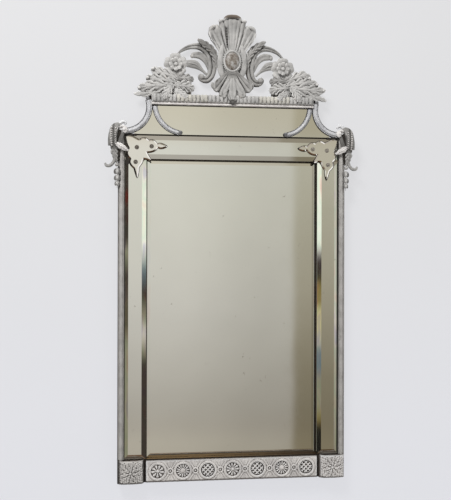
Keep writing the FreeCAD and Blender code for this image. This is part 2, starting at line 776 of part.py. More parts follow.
mirror_foot = carcass_top + s.plate_joint / 2
mirror_head = cornice_foot - s.plate_gap
inner_edge = inner_arc_radius - s.bar_rib / 2 - s.plate_gap
outer_edge = inner_arc_radius + s.bar_rib / 2 + s.plate_gap


def arc_reach(radius, offset):
    """How far a circle stands from its middle at an offset from that middle."""
    return (radius * radius - offset * offset).root()


centre_foot = inner_bar_foot - s.bar_rib / 2 - s.plate_gap
centre_head = inner_arc_offset + arc_reach(inner_edge, bar_height - mirror_head)
centre_turn = bar_height - arc_reach(inner_edge, centre_foot - inner_arc_offset)
node("pediment_plate_centre", facing_plate("pediment_mirror_centre", [
    (-centre_foot, mirror_foot, None),
    (centre_foot, mirror_foot, None),
    (centre_foot, centre_turn, (inner_arc_offset, bar_height, inner_edge)),
    (centre_head, mirror_head, None),
    (-centre_head, mirror_head, (-inner_arc_offset, bar_height, inner_edge)),
    (-centre_foot, centre_turn, None),
], carcass_depth, s.plate_thickness))

side_foot = inner_bar_foot + s.bar_rib / 2 + s.plate_gap
side_turn = bar_height - arc_reach(outer_edge, side_foot - inner_arc_offset)
side_head = cornice_foot - s.spandrel_drop
hollow_edge = outer_arc_radius + s.plate_gap
side_corner = outer_arc_offset - hollow_edge * cos(radians(SPANDREL_FOOT_DEG))
side_corner_height = arc_height - hollow_edge * sin(radians(SPANDREL_FOOT_DEG))
side_head_inner = inner_arc_offset + arc_reach(outer_edge, bar_height - side_head)
side_head_outer = outer_arc_offset - arc_reach(hollow_edge, arc_height - side_head)
for label, side in SIDES:
    hollow_bend = (toward(side, outer_arc_offset), arc_height, hollow_edge)
    bar_bend = (toward(side, inner_arc_offset), bar_height, outer_edge)
    node("pediment_plate_" + label, facing_plate("pediment_mirror_" + label, [
        (toward(side, side_foot), mirror_foot, None),
        (toward(side, side_corner), mirror_foot, None),
        (toward(side, side_corner), side_corner_height, hollow_bend),
        (toward(side, side_head_outer), side_head, None),
        (toward(side, side_head_inner), side_head, bar_bend),
        (toward(side, side_foot), side_turn, None),
    ], carcass_depth, s.plate_thickness))

rib_height = s.plate_thickness
cap_height = s.moulding_proud - s.plate_thickness
for label, side in SIDES:
    # The hollow outer moulding: a rib on the backing, a cap that laps the plate and a curl at its end
    x = toward(side, outer_arc_offset)
    sweep = OUTER_ARC_FOOT_DEG - OUTER_ARC_TOP_DEG
    start = OUTER_ARC_TOP_DEG if side > 0 else 180 - OUTER_ARC_FOOT_DEG
    rib_inside = outer_arc_radius - s.bar_rib
    curl_x = outer_arc_offset + s.bar_rib
    curl_z = arc_height - rib_inside - s.bar_width + s.arc_curl_diameter / 2
    node("pediment_arc_" + label, fuse("outer_arc_" + label, [
        sector("arc_rib_" + label, x, arc_height, carcass_depth, rib_inside, outer_arc_radius,
               rib_height, start, sweep),
        sector("arc_cap_" + label, x, arc_height, border_front, rib_inside, rib_inside + s.bar_width,
               cap_height, start, sweep),
        rod("arc_curl_" + label, toward(side, curl_x), curl_z, border_front, s.arc_curl_diameter / 2,
            cap_height),
    ]))
    # The bar over the joint of two plates: a rib between them, a cap over both and a round end
    x = toward(side, inner_arc_offset)
    start = INNER_BAR_TOP_DEG - INNER_BAR_SWEEP_DEG if side > 0 else 180 - INNER_BAR_TOP_DEG
    half_rib = s.bar_rib / 2
    half_cap = s.bar_width / 2
    boss_z = bar_height - arc_reach(inner_arc_radius, inner_bar_foot - inner_arc_offset)
    boss_z = boss_z + s.bar_boss_diameter / 2 - half_cap
    node("pediment_bar_" + label, fuse("inner_bar_" + label, [
        sector("bar_rib_" + label, x, bar_height, carcass_depth, inner_arc_radius - half_rib,
               inner_arc_radius + half_rib, rib_height, start, INNER_BAR_SWEEP_DEG),
        sector("bar_cap_" + label, x, bar_height, border_front, inner_arc_radius - half_cap,
               inner_arc_radius + half_cap, cap_height, start, INNER_BAR_SWEEP_DEG),
        rod("bar_boss_" + label, toward(side, inner_bar_foot), boss_z, border_front,
            s.bar_boss_diameter / 2, cap_height),
    ]))

# Cornice: a plain fillet and a band of upright gadroons
cornice_span = (-cornice_half, cornice_half)
fillet_depths = (carcass_depth, carcass_depth + s.fillet_proud)
band_front = carcass_depth + s.band_proud
node("cornice_fillet", box("fillet", cornice_span, fillet_depths, (cornice_foot, band_foot)))
node("cornice_rail", box("band", cornice_span, (carcass_depth, band_front), (band_foot, crest_foot)))
gadroon_count = int(cornice_half.value * 2 / s.gadroon_pitch.value)
HALF_TURN = FreeCAD.Rotation(FreeCAD.Vector(0, 0, 1), 180)
gadroons = []
for index in range(gadroon_count):
    x = s.gadroon_pitch * (index - (gadroon_count - 1) / 2)
    lobe = dowel(f"gadroon_{index}", x, band_front, band_foot, s.gadroon_diameter / 2, s.band_height)
    lobe.Angle = 180
    gadroons.append(place(lobe, x, -band_front, band_foot, HALF_TURN))
node("cornice_gadroons", group("gadroons", gadroons))

# Crest: a half-lapped brace behind, scrolls and sprays on the backing, cartouche and flowers in front
brace_span = (-s.brace_width / 2, s.brace_width / 2)
brace_top = crest_foot + s.brace_height
every_screw = range(len(brace_screw_seats))
brace = fuse("brace_joined", [
    box("brace_foot", brace_span, (ZERO, s.brace_thickness), (carcass_top, crest_foot)),
    box("brace_head", brace_span, (ZERO, scroll_front), (crest_foot, brace_top)),
])
node("crest_brace", cut("brace", brace, brace_screws("brace_screw_hole", every_screw, s.fit_gap)))
node("crest_brace_screws", group("brace_screw_set", brace_screws("brace_screw", every_screw)))


def across_middle(across, up):
    return (-across, up)


cartouche_height = s.crest_height - s.cartouche_lift
palmette = feature("palmette", carved_board(
    mirrored(CARTOUCHE_SHARES, across_middle), ZERO, cartouche_foot, s.cartouche_width / 2, cartouche_height,
    scroll_front, cartouche_front))
cartouche_holes = brace_screws("cartouche_screw_hole", CARTOUCHE_PICKS, s.fit_gap)
node("crest_cartouche", cut("cartouche", palmette, cartouche_holes))
drop_board = feature("drop_board", carved_board(
    mirrored(DROP_SHARES, across_middle), ZERO, crest_foot - s.drop_hang, s.drop_width / 2,
    s.drop_hang + s.cartouche_lift, scroll_front, gadroon_front + s.drop_proud))
cornice_room = box("cornice_room", cornice_span, (ZERO, gadroon_front),
                   (cornice_foot - s.cut_overrun, crest_foot))
node("crest_drop", cut("drop", drop_board, [cornice_room]))

oval_z = cartouche_foot + s.medallion_rise
oval_half_width = s.medallion_oval_width / 2
oval_half_height = s.medallion_oval_height / 2
node("crest_medallion", dome("cabochon", ZERO, oval_z, cartouche_front, oval_half_width,
                             oval_half_height, s.medallion_dome))


def oval_wire(margin):
    """An upright oval that stands a margin outside the cabochon."""
    middle = FreeCAD.Vector(0, -cartouche_front.value, oval_z.value)
    tall = middle + FreeCAD.Vector(0, 0, (oval_half_height + margin).value)
    wide = middle + FreeCAD.Vector((oval_half_width + margin).value, 0, 0)
    return Part.Wire([Part.Ellipse(tall, wide, middle).toShape()])


rim_hole = Part.Face(oval_wire(s.oval_rim_gap))
rim_face = Part.Face(oval_wire(s.oval_rim_gap + s.oval_rim_width)).cut(rim_hole).Faces[0]
rim_solid = rim_face.extrude(FreeCAD.Vector(0, -s.oval_rim_proud.value, 0))
node("crest_medallion_rim", feature("oval_rim", rim_solid))


def scroll_band():
    """A C-scroll: a band that follows a middle line, with a round eye where it curls in."""
    foot = FreeCAD.Vector(0, -s.brace_thickness.value, crest_foot.value)

    def at(across, up):
        return foot + FreeCAD.Vector(across * s.scroll_reach.value, 0, up * s.crest_height.value)

    spine = [at(across, up) for across, up, _ in SCROLL_SPINE_SHARES]
    outer, inner = [], []
    for index, (_, _, half_share) in enumerate(SCROLL_SPINE_SHARES):
        run = spine[min(index + 1, len(spine) - 1)] - spine[max(index - 1, 0)]
        reach = FreeCAD.Vector(-run.z, 0, run.x).normalize() * (half_share * s.scroll_band.value)
        outer.append(spine[index] - reach)
        inner.append(spine[index] + reach)
    edges = []
    for points in (outer, inner):
        line = Part.BSplineCurve()
        line.interpolate(points)
        edges.append(line.toShape())
    edges.append(Part.makeLine(outer[0], inner[0]))
    edges.append(Part.makeLine(outer[-1], inner[-1]))
    forward = FreeCAD.Vector(0, -s.scroll_thickness.value, 0)
    band = Part.Face(Part.Wire(Part.__sortEdges__(edges))).extrude(forward)
    eye_radius = s.scroll_eye_diameter.value / 2
    eye = Part.makeCylinder(eye_radius, s.scroll_thickness.value, at(*SCROLL_EYE_SHARES), forward)
    return band.fuse(eye)


spray_foot = s.scroll_reach * SCROLL_EYE_SHARES[0] + s.scroll_eye_diameter / 2 + s.spray_clearance


def flower_board():
    """A flower whose petals are arcs between notches."""
    radius = s.flower_diameter.value / 2
    flower_z = crest_foot + s.flower_lift
    middle = FreeCAD.Vector((spray_foot + s.flower_inset).value, -scroll_front.value, flower_z.value)

    def rim(turn, share):
        angle = 2 * pi * turn / PETAL_COUNT
        return middle + FreeCAD.Vector(cos(angle), 0, sin(angle)) * (radius * share)

    petals = []
    for turn in range(PETAL_COUNT):
        notch, after = rim(turn, PETAL_NOTCH_SHARE), rim(turn + 1, PETAL_NOTCH_SHARE)
        petals.append(Part.Arc(notch, rim(turn + 0.5, 1), after).toShape())
    return Part.Face(Part.Wire(petals)).extrude(FreeCAD.Vector(0, -s.flower_thickness.value, 0))


scroll = scroll_band()
spray = carved_board(SPRAY_SHARES, spray_foot, crest_foot, s.spray_length, s.spray_height,
                     s.brace_thickness, scroll_front)
flower = flower_board()
for label, side in SIDES:
    node("crest_scroll_" + label, feature("scroll_" + label, on_side(scroll, side)))
    node("crest_spray_" + label, feature("spray_" + label, on_side(spray, side)))
    node("crest_flower_" + label, feature("flower_" + label, on_side(flower, side)))

# Ears: acanthus scrolls that wrap the top of each side moulding, with bellflowers below
ear_foot = carcass_top - s.ear_drop
ear_front = moulding_front + s.ear_proud
ear_inside = half_body + s.ear_overhang - s.ear_width
ear_board = carved_board(EAR_SHARES, ear_inside, ear_foot, s.ear_width, s.ear_height,
                         ear_front - s.ear_depth, ear_front)
ear_room = (ear_foot - s.cut_overrun, ear_foot + s.ear_height + s.cut_overrun)
for label, side in SIDES:
    blank = feature("ear_board_" + label, on_side(ear_board, side))
    room = box("ear_room_" + label, sided(side, ear_inside - s.cut_overrun, half_body),
               (ZERO, moulding_front), ear_room)
    node("ear_scroll_" + label, cut("ear_" + label, blank, [room]))
    bells = []
    bell_x = toward(side, half_body + s.bell_outset)
    for index, share in enumerate(BELL_SHARES):
        z = ear_foot - s.bell_height / 2 - s.bell_pitch * index
        radius = s.bell_diameter * share / 2
        bells.append(dome(f"bell_{label}_{index}", bell_x, z, moulding_front, radius,
                          s.bell_height * share / 2, radius))
    node("bellflower_drop_" + label, group("bells_" + label, bells))

# Hangers: a strap with a rolled eye in each stile's pocket, and a loose ring through the eye
ALONG_X = FreeCAD.Rotation(FreeCAD.Vector(0, 1, 0), 90)


def cross_bar(name, side, radius, length):
    """A round bar along the hinge line of a hanger."""
    item = doc.addObject("Part::Cylinder", name)
    bind(item, Radius=radius, Height=length)
    return place(item, toward(side, hanger_x) - length / 2, -eye_radius, s.hang_height, ALONG_X)


def ring_shape(side):
    """A loop of round wire: a straight bar in the eye, rounded shoulders and a half-round bow."""
    half, corner, drop = s.ring_width.value / 2, s.ring_corner.value, s.ring_drop.value
    eye = FreeCAD.Vector(side * hanger_x.value, -eye_radius.value, s.hang_height.value)
    bend = corner * cos(radians(45))
    flat = half - corner

    def at(x, z):
        return eye + FreeCAD.Vector(x, 0, z)

    edges = [
        Part.makeLine(at(-flat, 0), at(flat, 0)),
        Part.Arc(at(flat, 0), at(flat + bend, bend - corner), at(half, -corner)).toShape(),
        Part.makeLine(at(half, -corner), at(half, half - drop)),
        Part.Arc(at(half, half - drop), at(0, -drop), at(-half, half - drop)).toShape(),
        Part.makeLine(at(-half, half - drop), at(-half, -corner)),
        Part.Arc(at(-half, -corner), at(-flat - bend, bend - corner), at(-flat, 0)).toShape(),
    ]
    section = Part.makeCircle(ring_radius.value, at(-flat, 0), FreeCAD.Vector(1, 0, 0))
    return Part.Wire(edges).makePipeShell([Part.Wire([section])], True, True)


hanger_screws = []
strap_across = (hanger_x - s.strap_width / 2, hanger_x + s.strap_width / 2)
bore_length = s.eye_length + s.cut_overrun * 2
for label, side in SIDES:
    plate = box("strap_plate_" + label, sided(side, *strap_across), (strap_depth, pocket_depth),
                (s.hang_height - s.strap_length, s.hang_height))
    eye = cross_bar("strap_eye_" + label, side, eye_radius, s.eye_length)
    bore = cross_bar("strap_bore_" + label, side, ring_radius + s.ring_fit_gap, bore_length)
    holes = strap_screws("strap_hole_" + label, side, s.fit_gap)
    blank = fuse("strap_blank_" + label, [plate, eye])
    node("hanger_strap_" + label, cut("strap_" + label, blank, [bore] + holes))
    node("hanger_ring_" + label, feature("ring_" + label, ring_shape(side)))
    hanger_screws += strap_screws("strap_screw_" + label, side)
node("hanger_screws", group("strap_screw_set", hanger_screws))

doc.recompute()
for item in doc.Objects:
    if "Invalid" in item.State or "Error" in item.State:
        raise RuntimeError(f"{item.Name} did not build: {item.State}")
for label, item in nodes.items():
    if item.Label != label or item.Shape.isNull() or not item.Shape.isValid():
        raise RuntimeError(f"{label} has no valid shape")

os.makedirs("parts", exist_ok=True)
for label, item in nodes.items():
    item.Shape.exportStep(f"parts/{label}.step")
    print(f"{label}: {len(item.Shape.Solids)} solids, {item.Shape.Volume / 1000:.1f} cm3")
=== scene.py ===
# %% [markdown]
# # A carved and silvered Venetian mirror
# A tall looking glass hangs on a wall: bevelled plates in a pine carcass, faced with carved wood under
# worn silver paint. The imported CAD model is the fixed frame, so every piece made here is drawn in its
# millimetres and replaces the plain solid that holds its place. Lengths are drawn as (across from the
# middle, up from the foot, out from the wall).

# %% Load the frame and set up the drawing board
import math

import bmesh
import bpy
import numpy as np
from mathutils import Matrix, Vector, geometry


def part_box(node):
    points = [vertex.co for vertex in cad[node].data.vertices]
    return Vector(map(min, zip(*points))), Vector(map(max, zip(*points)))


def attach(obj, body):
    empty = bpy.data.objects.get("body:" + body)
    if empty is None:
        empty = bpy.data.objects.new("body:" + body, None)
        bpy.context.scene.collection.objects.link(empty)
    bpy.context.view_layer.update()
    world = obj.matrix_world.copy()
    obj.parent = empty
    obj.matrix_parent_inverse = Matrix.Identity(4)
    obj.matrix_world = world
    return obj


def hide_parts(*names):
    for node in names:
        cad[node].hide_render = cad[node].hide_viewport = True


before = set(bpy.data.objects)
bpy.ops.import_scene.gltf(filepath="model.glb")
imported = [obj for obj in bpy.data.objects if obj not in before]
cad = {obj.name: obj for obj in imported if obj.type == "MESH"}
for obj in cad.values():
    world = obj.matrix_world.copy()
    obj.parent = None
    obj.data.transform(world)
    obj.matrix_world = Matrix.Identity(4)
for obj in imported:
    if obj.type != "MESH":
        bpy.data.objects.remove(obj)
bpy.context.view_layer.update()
scene = bpy.context.scene
scene.view_settings.view_transform = "Standard"

MM = 0.001
OUT = np.array([0.0, 0.0, 1.0])
SIDES = (("left", -1), ("right", 1))
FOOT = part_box("base_block_left")[0].z


def drawn_box(node):
    """A CAD node's lowest and highest corners as drawn: across, up from the foot, out from the wall."""
    low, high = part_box(node)
    return (np.array([low.x, low.z - FOOT, -high.y]) / MM, np.array([high.x, high.z - FOOT, -low.y]) / MM)


def placed(points):
    """Drawn points, in millimetres, as points of the frame, in metres."""
    points = np.asarray(points, float)
    return np.stack([points[..., 0] * MM, -points[..., 2] * MM, FOOT + points[..., 1] * MM], axis=-1)


CREST_FOOT = drawn_box("cornice_rail")[1][1]
BODY_TOP = drawn_box("carcass_stile_right")[1][1]
HALF_BODY = drawn_box("carcass_stile_right")[1][0]
print(f"frame of {len(cad)} nodes, crest from {CREST_FOOT:.0f} mm, body {2 * HALF_BODY:.0f} mm wide")

# %% [markdown]
# ## Camera
# The photograph was taken from a little left of the middle, at the height of the glass, so the frame's
# right side recedes. A camera in Blender could be aimed with a constraint, but the solved place and the
# three small turns are kept as plain numbers, which put the plates' edges within about two pixels of theirs.

# %% Camera
EYE = placed((-291, 790, 2448))
YAW, PITCH, ROLL = math.radians(6.28), math.radians(0.055), math.radians(0.14)
FOCAL_PIXELS, LONG_SIDE, SENSOR = 704, 500, 36

forward = Vector((math.sin(YAW) * math.cos(PITCH), math.cos(YAW) * math.cos(PITCH), math.sin(PITCH)))
right = Vector((math.cos(YAW), -math.sin(YAW), 0))
above = right.cross(forward)
turn = Matrix((math.cos(ROLL) * right + math.sin(ROLL) * above,
               math.cos(ROLL) * above - math.sin(ROLL) * right, -forward)).transposed()
camera_data = bpy.data.cameras.new("photograph")
camera_data.sensor_width = SENSOR
camera_data.lens = FOCAL_PIXELS * SENSOR / LONG_SIDE
camera = bpy.data.objects.new("photograph", camera_data)
camera.matrix_world = Matrix.Translation(Vector(EYE)) @ turn.to_4x4()
scene.collection.objects.link(camera)
scene.camera = camera
print(f"camera at {np.round(EYE, 2)}, lens {camera_data.lens:.1f} mm")

# %% [markdown]
# ## Node helpers
# Every finish below is a small network of nodes. Written out one node at a time they hide what they do,
# so short helpers add a node, feed its sockets with numbers or links, and return the socket that comes out.

# %% Node helpers
def feed(tree, socket, value):
    if isinstance(value, bpy.types.NodeSocket):
        tree.links.new(value, socket)
    else:
        socket.default_value = value


def add(tree, kind, settings=None, inputs=None):
    """A new node with its settings made and its inputs set or linked."""
    node = tree.nodes.new(kind)
    for name, value in (settings or {}).items():
        setattr(node, name, value)
    for key, value in (inputs or {}).items():
        feed(tree, node.inputs[key], value)
    return node


def sums(tree, operation, first, second=0.0):
    return add(tree, "ShaderNodeMath", {"operation": operation}, {0: first, 1: second}).outputs[0]


def times(tree, first, second):
    return sums(tree, "MULTIPLY", first, second)


def eased(tree, value, start, end):
    """0 before start, 1 after end, and a smooth step between."""
    node = add(tree, "ShaderNodeMapRange", {"interpolation_type": "SMOOTHSTEP"},
               {"Value": value, "From Min": start, "From Max": end})
    return node.outputs["Result"]


def spread(tree, value, low, high):
    """A value from 0 to 1 carried onto low to high."""
    return add(tree, "ShaderNodeMapRange", None, {"Value": value, "To Min": low, "To Max": high}).outputs["Result"]


def axes_of(tree, vector):
    """The X, Y and Z of a vector."""
    return add(tree, "ShaderNodeSeparateXYZ", None, {0: vector}).outputs


def marked(tree, mark):
    """A number that the mesh carries at each point."""
    return add(tree, "ShaderNodeAttribute", {"attribute_name": mark}).outputs["Fac"]


def noise(tree, place, scale, detail=3.0, roughness=0.55):
    inputs = {"Vector": place, "Scale": scale, "Detail": detail, "Roughness": roughness}
    return add(tree, "ShaderNodeTexNoise", None, inputs).outputs[0]


def stretched(tree, place, scale):
    return add(tree, "ShaderNodeVectorMath", {"operation": "MULTIPLY"}, {0: place, 1: scale}).outputs[0]


def ramp(tree, value, *stops):
    """A colour ramp through (place, colour) stops."""
    node = add(tree, "ShaderNodeValToRGB", None, {"Fac": value})
    marks = node.color_ramp.elements
    while len(marks) < len(stops):
        marks.new(0.5)
    for mark, (position, colour) in zip(marks, stops):
        mark.position = position
        mark.color = (*colour, 1)
    return node.outputs["Color"]


def blend(tree, share, first, second, how="MIX"):
    node = add(tree, "ShaderNodeMix", {"data_type": "RGBA", "blend_type": how})
    for socket, value in ((0, share), (6, first), (7, second)):
        feed(tree, node.inputs[socket], (*value, 1) if isinstance(value, tuple) else value)
    return node.outputs[2]


def new_finish(name):
    finish = bpy.data.materials.new(name)
    finish.use_nodes = True
    tree = finish.node_tree
    place = add(tree, "ShaderNodeTexCoord").outputs["Object"]
    return finish, tree, tree.nodes["Principled BSDF"], place


def raise_grain(tree, shader, height, strength, distance):
    bump = add(tree, "ShaderNodeBump", None, {"Height": height, "Strength": strength, "Distance": distance})
    feed(tree, shader.inputs["Normal"], bump.outputs["Normal"])


print("node helpers ready")

# %% [markdown]
# ## Room, wall and light
# A mirror shows the room it faces, so the room matters as much as the glass. It could be modelled, but a
# world that changes with direction is enough: pale above and brown below, darker step by step to the right,
# and a strip of lights and darks along the bearing that each row of bevels looks at. Only reflections see
# it: matt surfaces get one even light, and the camera sees plain white. The wall behind the mirror is there
# for the camera in front alone, so that the back can be looked at and lit as well.

# %% Room seen in the glass
LOWEST, HIGHEST = -45.0, 45.0  # heights, in degrees, at the two ends of the room's tones
BY_HEIGHT = (
    (0.06, (0.12, 0.07, 0.04)), (0.16, (0.17, 0.11, 0.07)), (0.29, (0.40, 0.37, 0.31)), (0.33, (0.46, 0.43, 0.37)),
    (0.346, (0.41, 0.385, 0.34)), (0.36, (0.42, 0.40, 0.36)), (0.45, (0.59, 0.58, 0.54)), (0.55, (0.68, 0.68, 0.62)),
    (0.592, (0.71, 0.715, 0.66)), (0.606, (0.645, 0.62, 0.53)), (0.63, (0.63, 0.60, 0.50)),
    (0.71, (0.64, 0.61, 0.52)), (0.79, (0.44, 0.41, 0.36)))
STEP_BY_HEIGHT = ((0.39, (0.58, 0.54, 0.43)), (0.48, (0.71, 0.68, 0.59)), (0.57, (0.80, 0.78, 0.71)))
SIDEWAYS = (  # the bearings, in degrees, over which a tone or a row of tones comes in, and how it is mixed
    (1.0, 10.5, (0.82, 0.815, 0.80), "MULTIPLY"),
    (11.5, 12.2, STEP_BY_HEIGHT, "MULTIPLY"),
    (17.0, 24.0, (0.80, 0.78, 0.76), "MULTIPLY"),
    (-46.0, -54.0, (0.022, 0.016, 0.016), "MIX"),
    (42.0, 50.0, (0.95, 0.95, 0.93), "MIX"),
)
BRIGHT, PALE, SHADED, CREAM = (0.96, 0.97, 0.87), (0.60, 0.57, 0.51), (0.42, 0.40, 0.34), (0.52, 0.47, 0.27)
TAN, BLUE_GREY, GOLD_BROWN = (0.27, 0.25, 0.18), (0.16, 0.19, 0.22), (0.26, 0.19, 0.075)
BROWN, DARK, SHADOW = (0.11, 0.09, 0.06), (0.052, 0.041, 0.034), (0.016, 0.014, 0.012)
RED_GLINT = (0.12, 0.022, 0.016)
VIEWS = (  # bearing a bevel looks along, half width, and (height, tone) stops, all angles in degrees
    (-20.7, 2.5, ((-16, TAN), (-7.5, TAN), (-6, BROWN), (-4, BROWN), (-2, DARK), (0, TAN), (1, DARK), (3.7, DARK),
                  (4.1, RED_GLINT), (4.6, RED_GLINT), (4.9, DARK), (8, DARK))),
    (18.6, 3.0, ((-16, DARK), (-9, DARK), (-8, TAN), (-6.5, PALE), (-5.5, TAN), (-3.5, DARK), (-1.5, BLUE_GREY),
                 (0.8, BRIGHT), (5, BRIGHT), (8, PALE))),
    (-5.05, 2.4, ((-16, SHADOW), (-13.9, SHADOW), (-13.2, GOLD_BROWN), (-12.2, TAN), (-10.5, TAN),
                  (-9.5, BLUE_GREY), (-8.1, BLUE_GREY), (-7.3, SHADED), (-6.2, CREAM), (-4.8, CREAM),
                  (-4.2, GOLD_BROWN), (-2.8, GOLD_BROWN), (-2, DARK), (-0.5, DARK), (0.5, BRIGHT), (6, BRIGHT))),
    (34.1, 4.5, ((-16, TAN), (-8, SHADED), (-5.5, PALE), (8, PALE))),
)
VIEW_EDGE, VIEWS_UP_TO = 0.8, (26.0, 19.0)  # where a strip's soft edge starts, and the heights where all fade
EVEN_LIGHT, WHITE = (0.24, 0.24, 0.2448), (0.90, 0.90, 0.91)


def room_world():
    world = bpy.data.worlds.new("room")
    world.use_nodes = True
    tree = world.node_tree
    background = tree.nodes["Background"]
    direction = add(tree, "ShaderNodeTexCoord").outputs["Generated"]
    axes = axes_of(tree, direction)
    toward = times(tree, axes["Y"], -1.0)
    bearing = times(tree, sums(tree, "ARCTAN2", axes["X"], toward), math.degrees(1))
    height = times(tree, sums(tree, "ARCSINE", axes["Z"]), math.degrees(1))
    span = {"Value": height, "From Min": LOWEST, "From Max": HIGHEST}
    share = add(tree, "ShaderNodeMapRange", None, span).outputs["Result"]
    room = ramp(tree, share, *BY_HEIGHT)
    for begin, full, tones, how in SIDEWAYS:
        tone = ramp(tree, share, *tones) if tones is STEP_BY_HEIGHT else tones
        room = blend(tree, eased(tree, bearing, begin, full), room, tone, how)
    level = eased(tree, sums(tree, "ABSOLUTE", height), *VIEWS_UP_TO)
    for middle, half, stops in VIEWS:
        aside = sums(tree, "ABSOLUTE", sums(tree, "SUBTRACT", bearing, middle))
        seen = ramp(tree, share, *[((angle - LOWEST) / (HIGHEST - LOWEST), tone) for angle, tone in stops])
        room = blend(tree, times(tree, eased(tree, aside, half, half * VIEW_EDGE), level), room, seen)
    rays = add(tree, "ShaderNodeLightPath").outputs
    even = blend(tree, rays["Is Diffuse Ray"], room, EVEN_LIGHT)
    feed(tree, background.inputs["Color"], blend(tree, rays["Is Camera Ray"], even, WHITE))
    return world


scene.world = room_world()
print(f"room with the views of {len(VIEWS)} bevels")

# %% Wall, floor and lamps
WALL_BACK, WALL_REACH = 1.0, 4000
FLOOR_DROP, FLOOR_REACH = 900, 3000


def stage_sheet(name, corners, finish):
    mesh = bpy.data.meshes.new(name)
    mesh.from_pydata(placed(corners).tolist(), [], [(0, 1, 2, 3)])
    mesh.materials.append(finish)
    sheet = bpy.data.objects.new(name, mesh)
    scene.collection.objects.link(sheet)
    return sheet


def wall_paint():
    finish, tree, shader, place = new_finish("wall_paint")
    height = axes_of(tree, place)["Z"]
    tone = ramp(tree, eased(tree, height, -1.3, 0.5), (0.0, (0.66, 0.665, 0.70)), (1.0, (0.64, 0.64, 0.65)))
    tone = blend(tree, times(tree, noise(tree, place, 3.0), 0.06), tone, (0.5, 0.5, 0.52))
    feed(tree, shader.inputs["Base Color"], blend(tree, 1.0, tone, (0.16, 0.16, 0.16), "MULTIPLY"))
    feed(tree, shader.inputs["Emission Color"], tone)
    shader.inputs["Emission Strength"].default_value = 1.0
    shader.inputs["Roughness"].default_value = 0.9
    rays = add(tree, "ShaderNodeLightPath").outputs
    facing = sums(tree, "SUBTRACT", 1.0, add(tree, "ShaderNodeNewGeometry").outputs["Backfacing"])
    shown = times(tree, rays["Is Camera Ray"], facing)
    clear = add(tree, "ShaderNodeBsdfTransparent").outputs[0]
    mix = add(tree, "ShaderNodeMixShader", None, {0: shown, 1: clear, 2: shader.outputs[0]})
    feed(tree, tree.nodes["Material Output"].inputs["Surface"], mix.outputs[0])
    return finish


def floor_paint():
    finish, tree, shader, place = new_finish("floor_paint")
    tone = ramp(tree, noise(tree, place, 2.0), (0.3, (0.74, 0.73, 0.71)), (0.7, (0.80, 0.79, 0.77)))
    feed(tree, shader.inputs["Base Color"], tone)
    shader.inputs["Roughness"].default_value = 0.8
    return finish


stage_sheet("wall", [(-WALL_REACH, -FLOOR_DROP, -WALL_BACK), (WALL_REACH, -FLOOR_DROP, -WALL_BACK),
                     (WALL_REACH, WALL_REACH, -WALL_BACK), (-WALL_REACH, WALL_REACH, -WALL_BACK)], wall_paint())
floor = stage_sheet("floor", [(-FLOOR_REACH, -FLOOR_DROP, -FLOOR_REACH), (-FLOOR_REACH, -FLOOR_DROP, FLOOR_REACH),
                              (FLOOR_REACH, -FLOOR_DROP, FLOOR_REACH), (FLOOR_REACH, -FLOOR_DROP, -FLOOR_REACH)],
                    floor_paint())
floor.visible_glossy = False
LAMPS = (  # name, place, what it looks at, size in metres, watts
    ("high_window", (-1200, 3100, 2100), (0, 900, 0), 1.0, 112),
    ("fill", (1900, 1200, 2600), (0, 700, 0), 2.4, 14),
    ("back_fill", (0, 1800, -2500), (0, 800, 0), 2.4, 40),
)
for name, at, aim, size, watts in LAMPS:
    lamp_data = bpy.data.lights.new(name, "AREA")
    lamp_data.size = size
    lamp_data.energy = watts
    lamp = bpy.data.objects.new(name, lamp_data)
    lamp.location = Vector(placed(at))
    lamp.rotation_euler = (Vector(placed(aim)) - lamp.location).to_track_quat("-Z", "Y").to_euler()
    lamp.visible_glossy = False
    scene.collection.objects.link(lamp)
print(f"wall, floor and {len(LAMPS)} lamps")
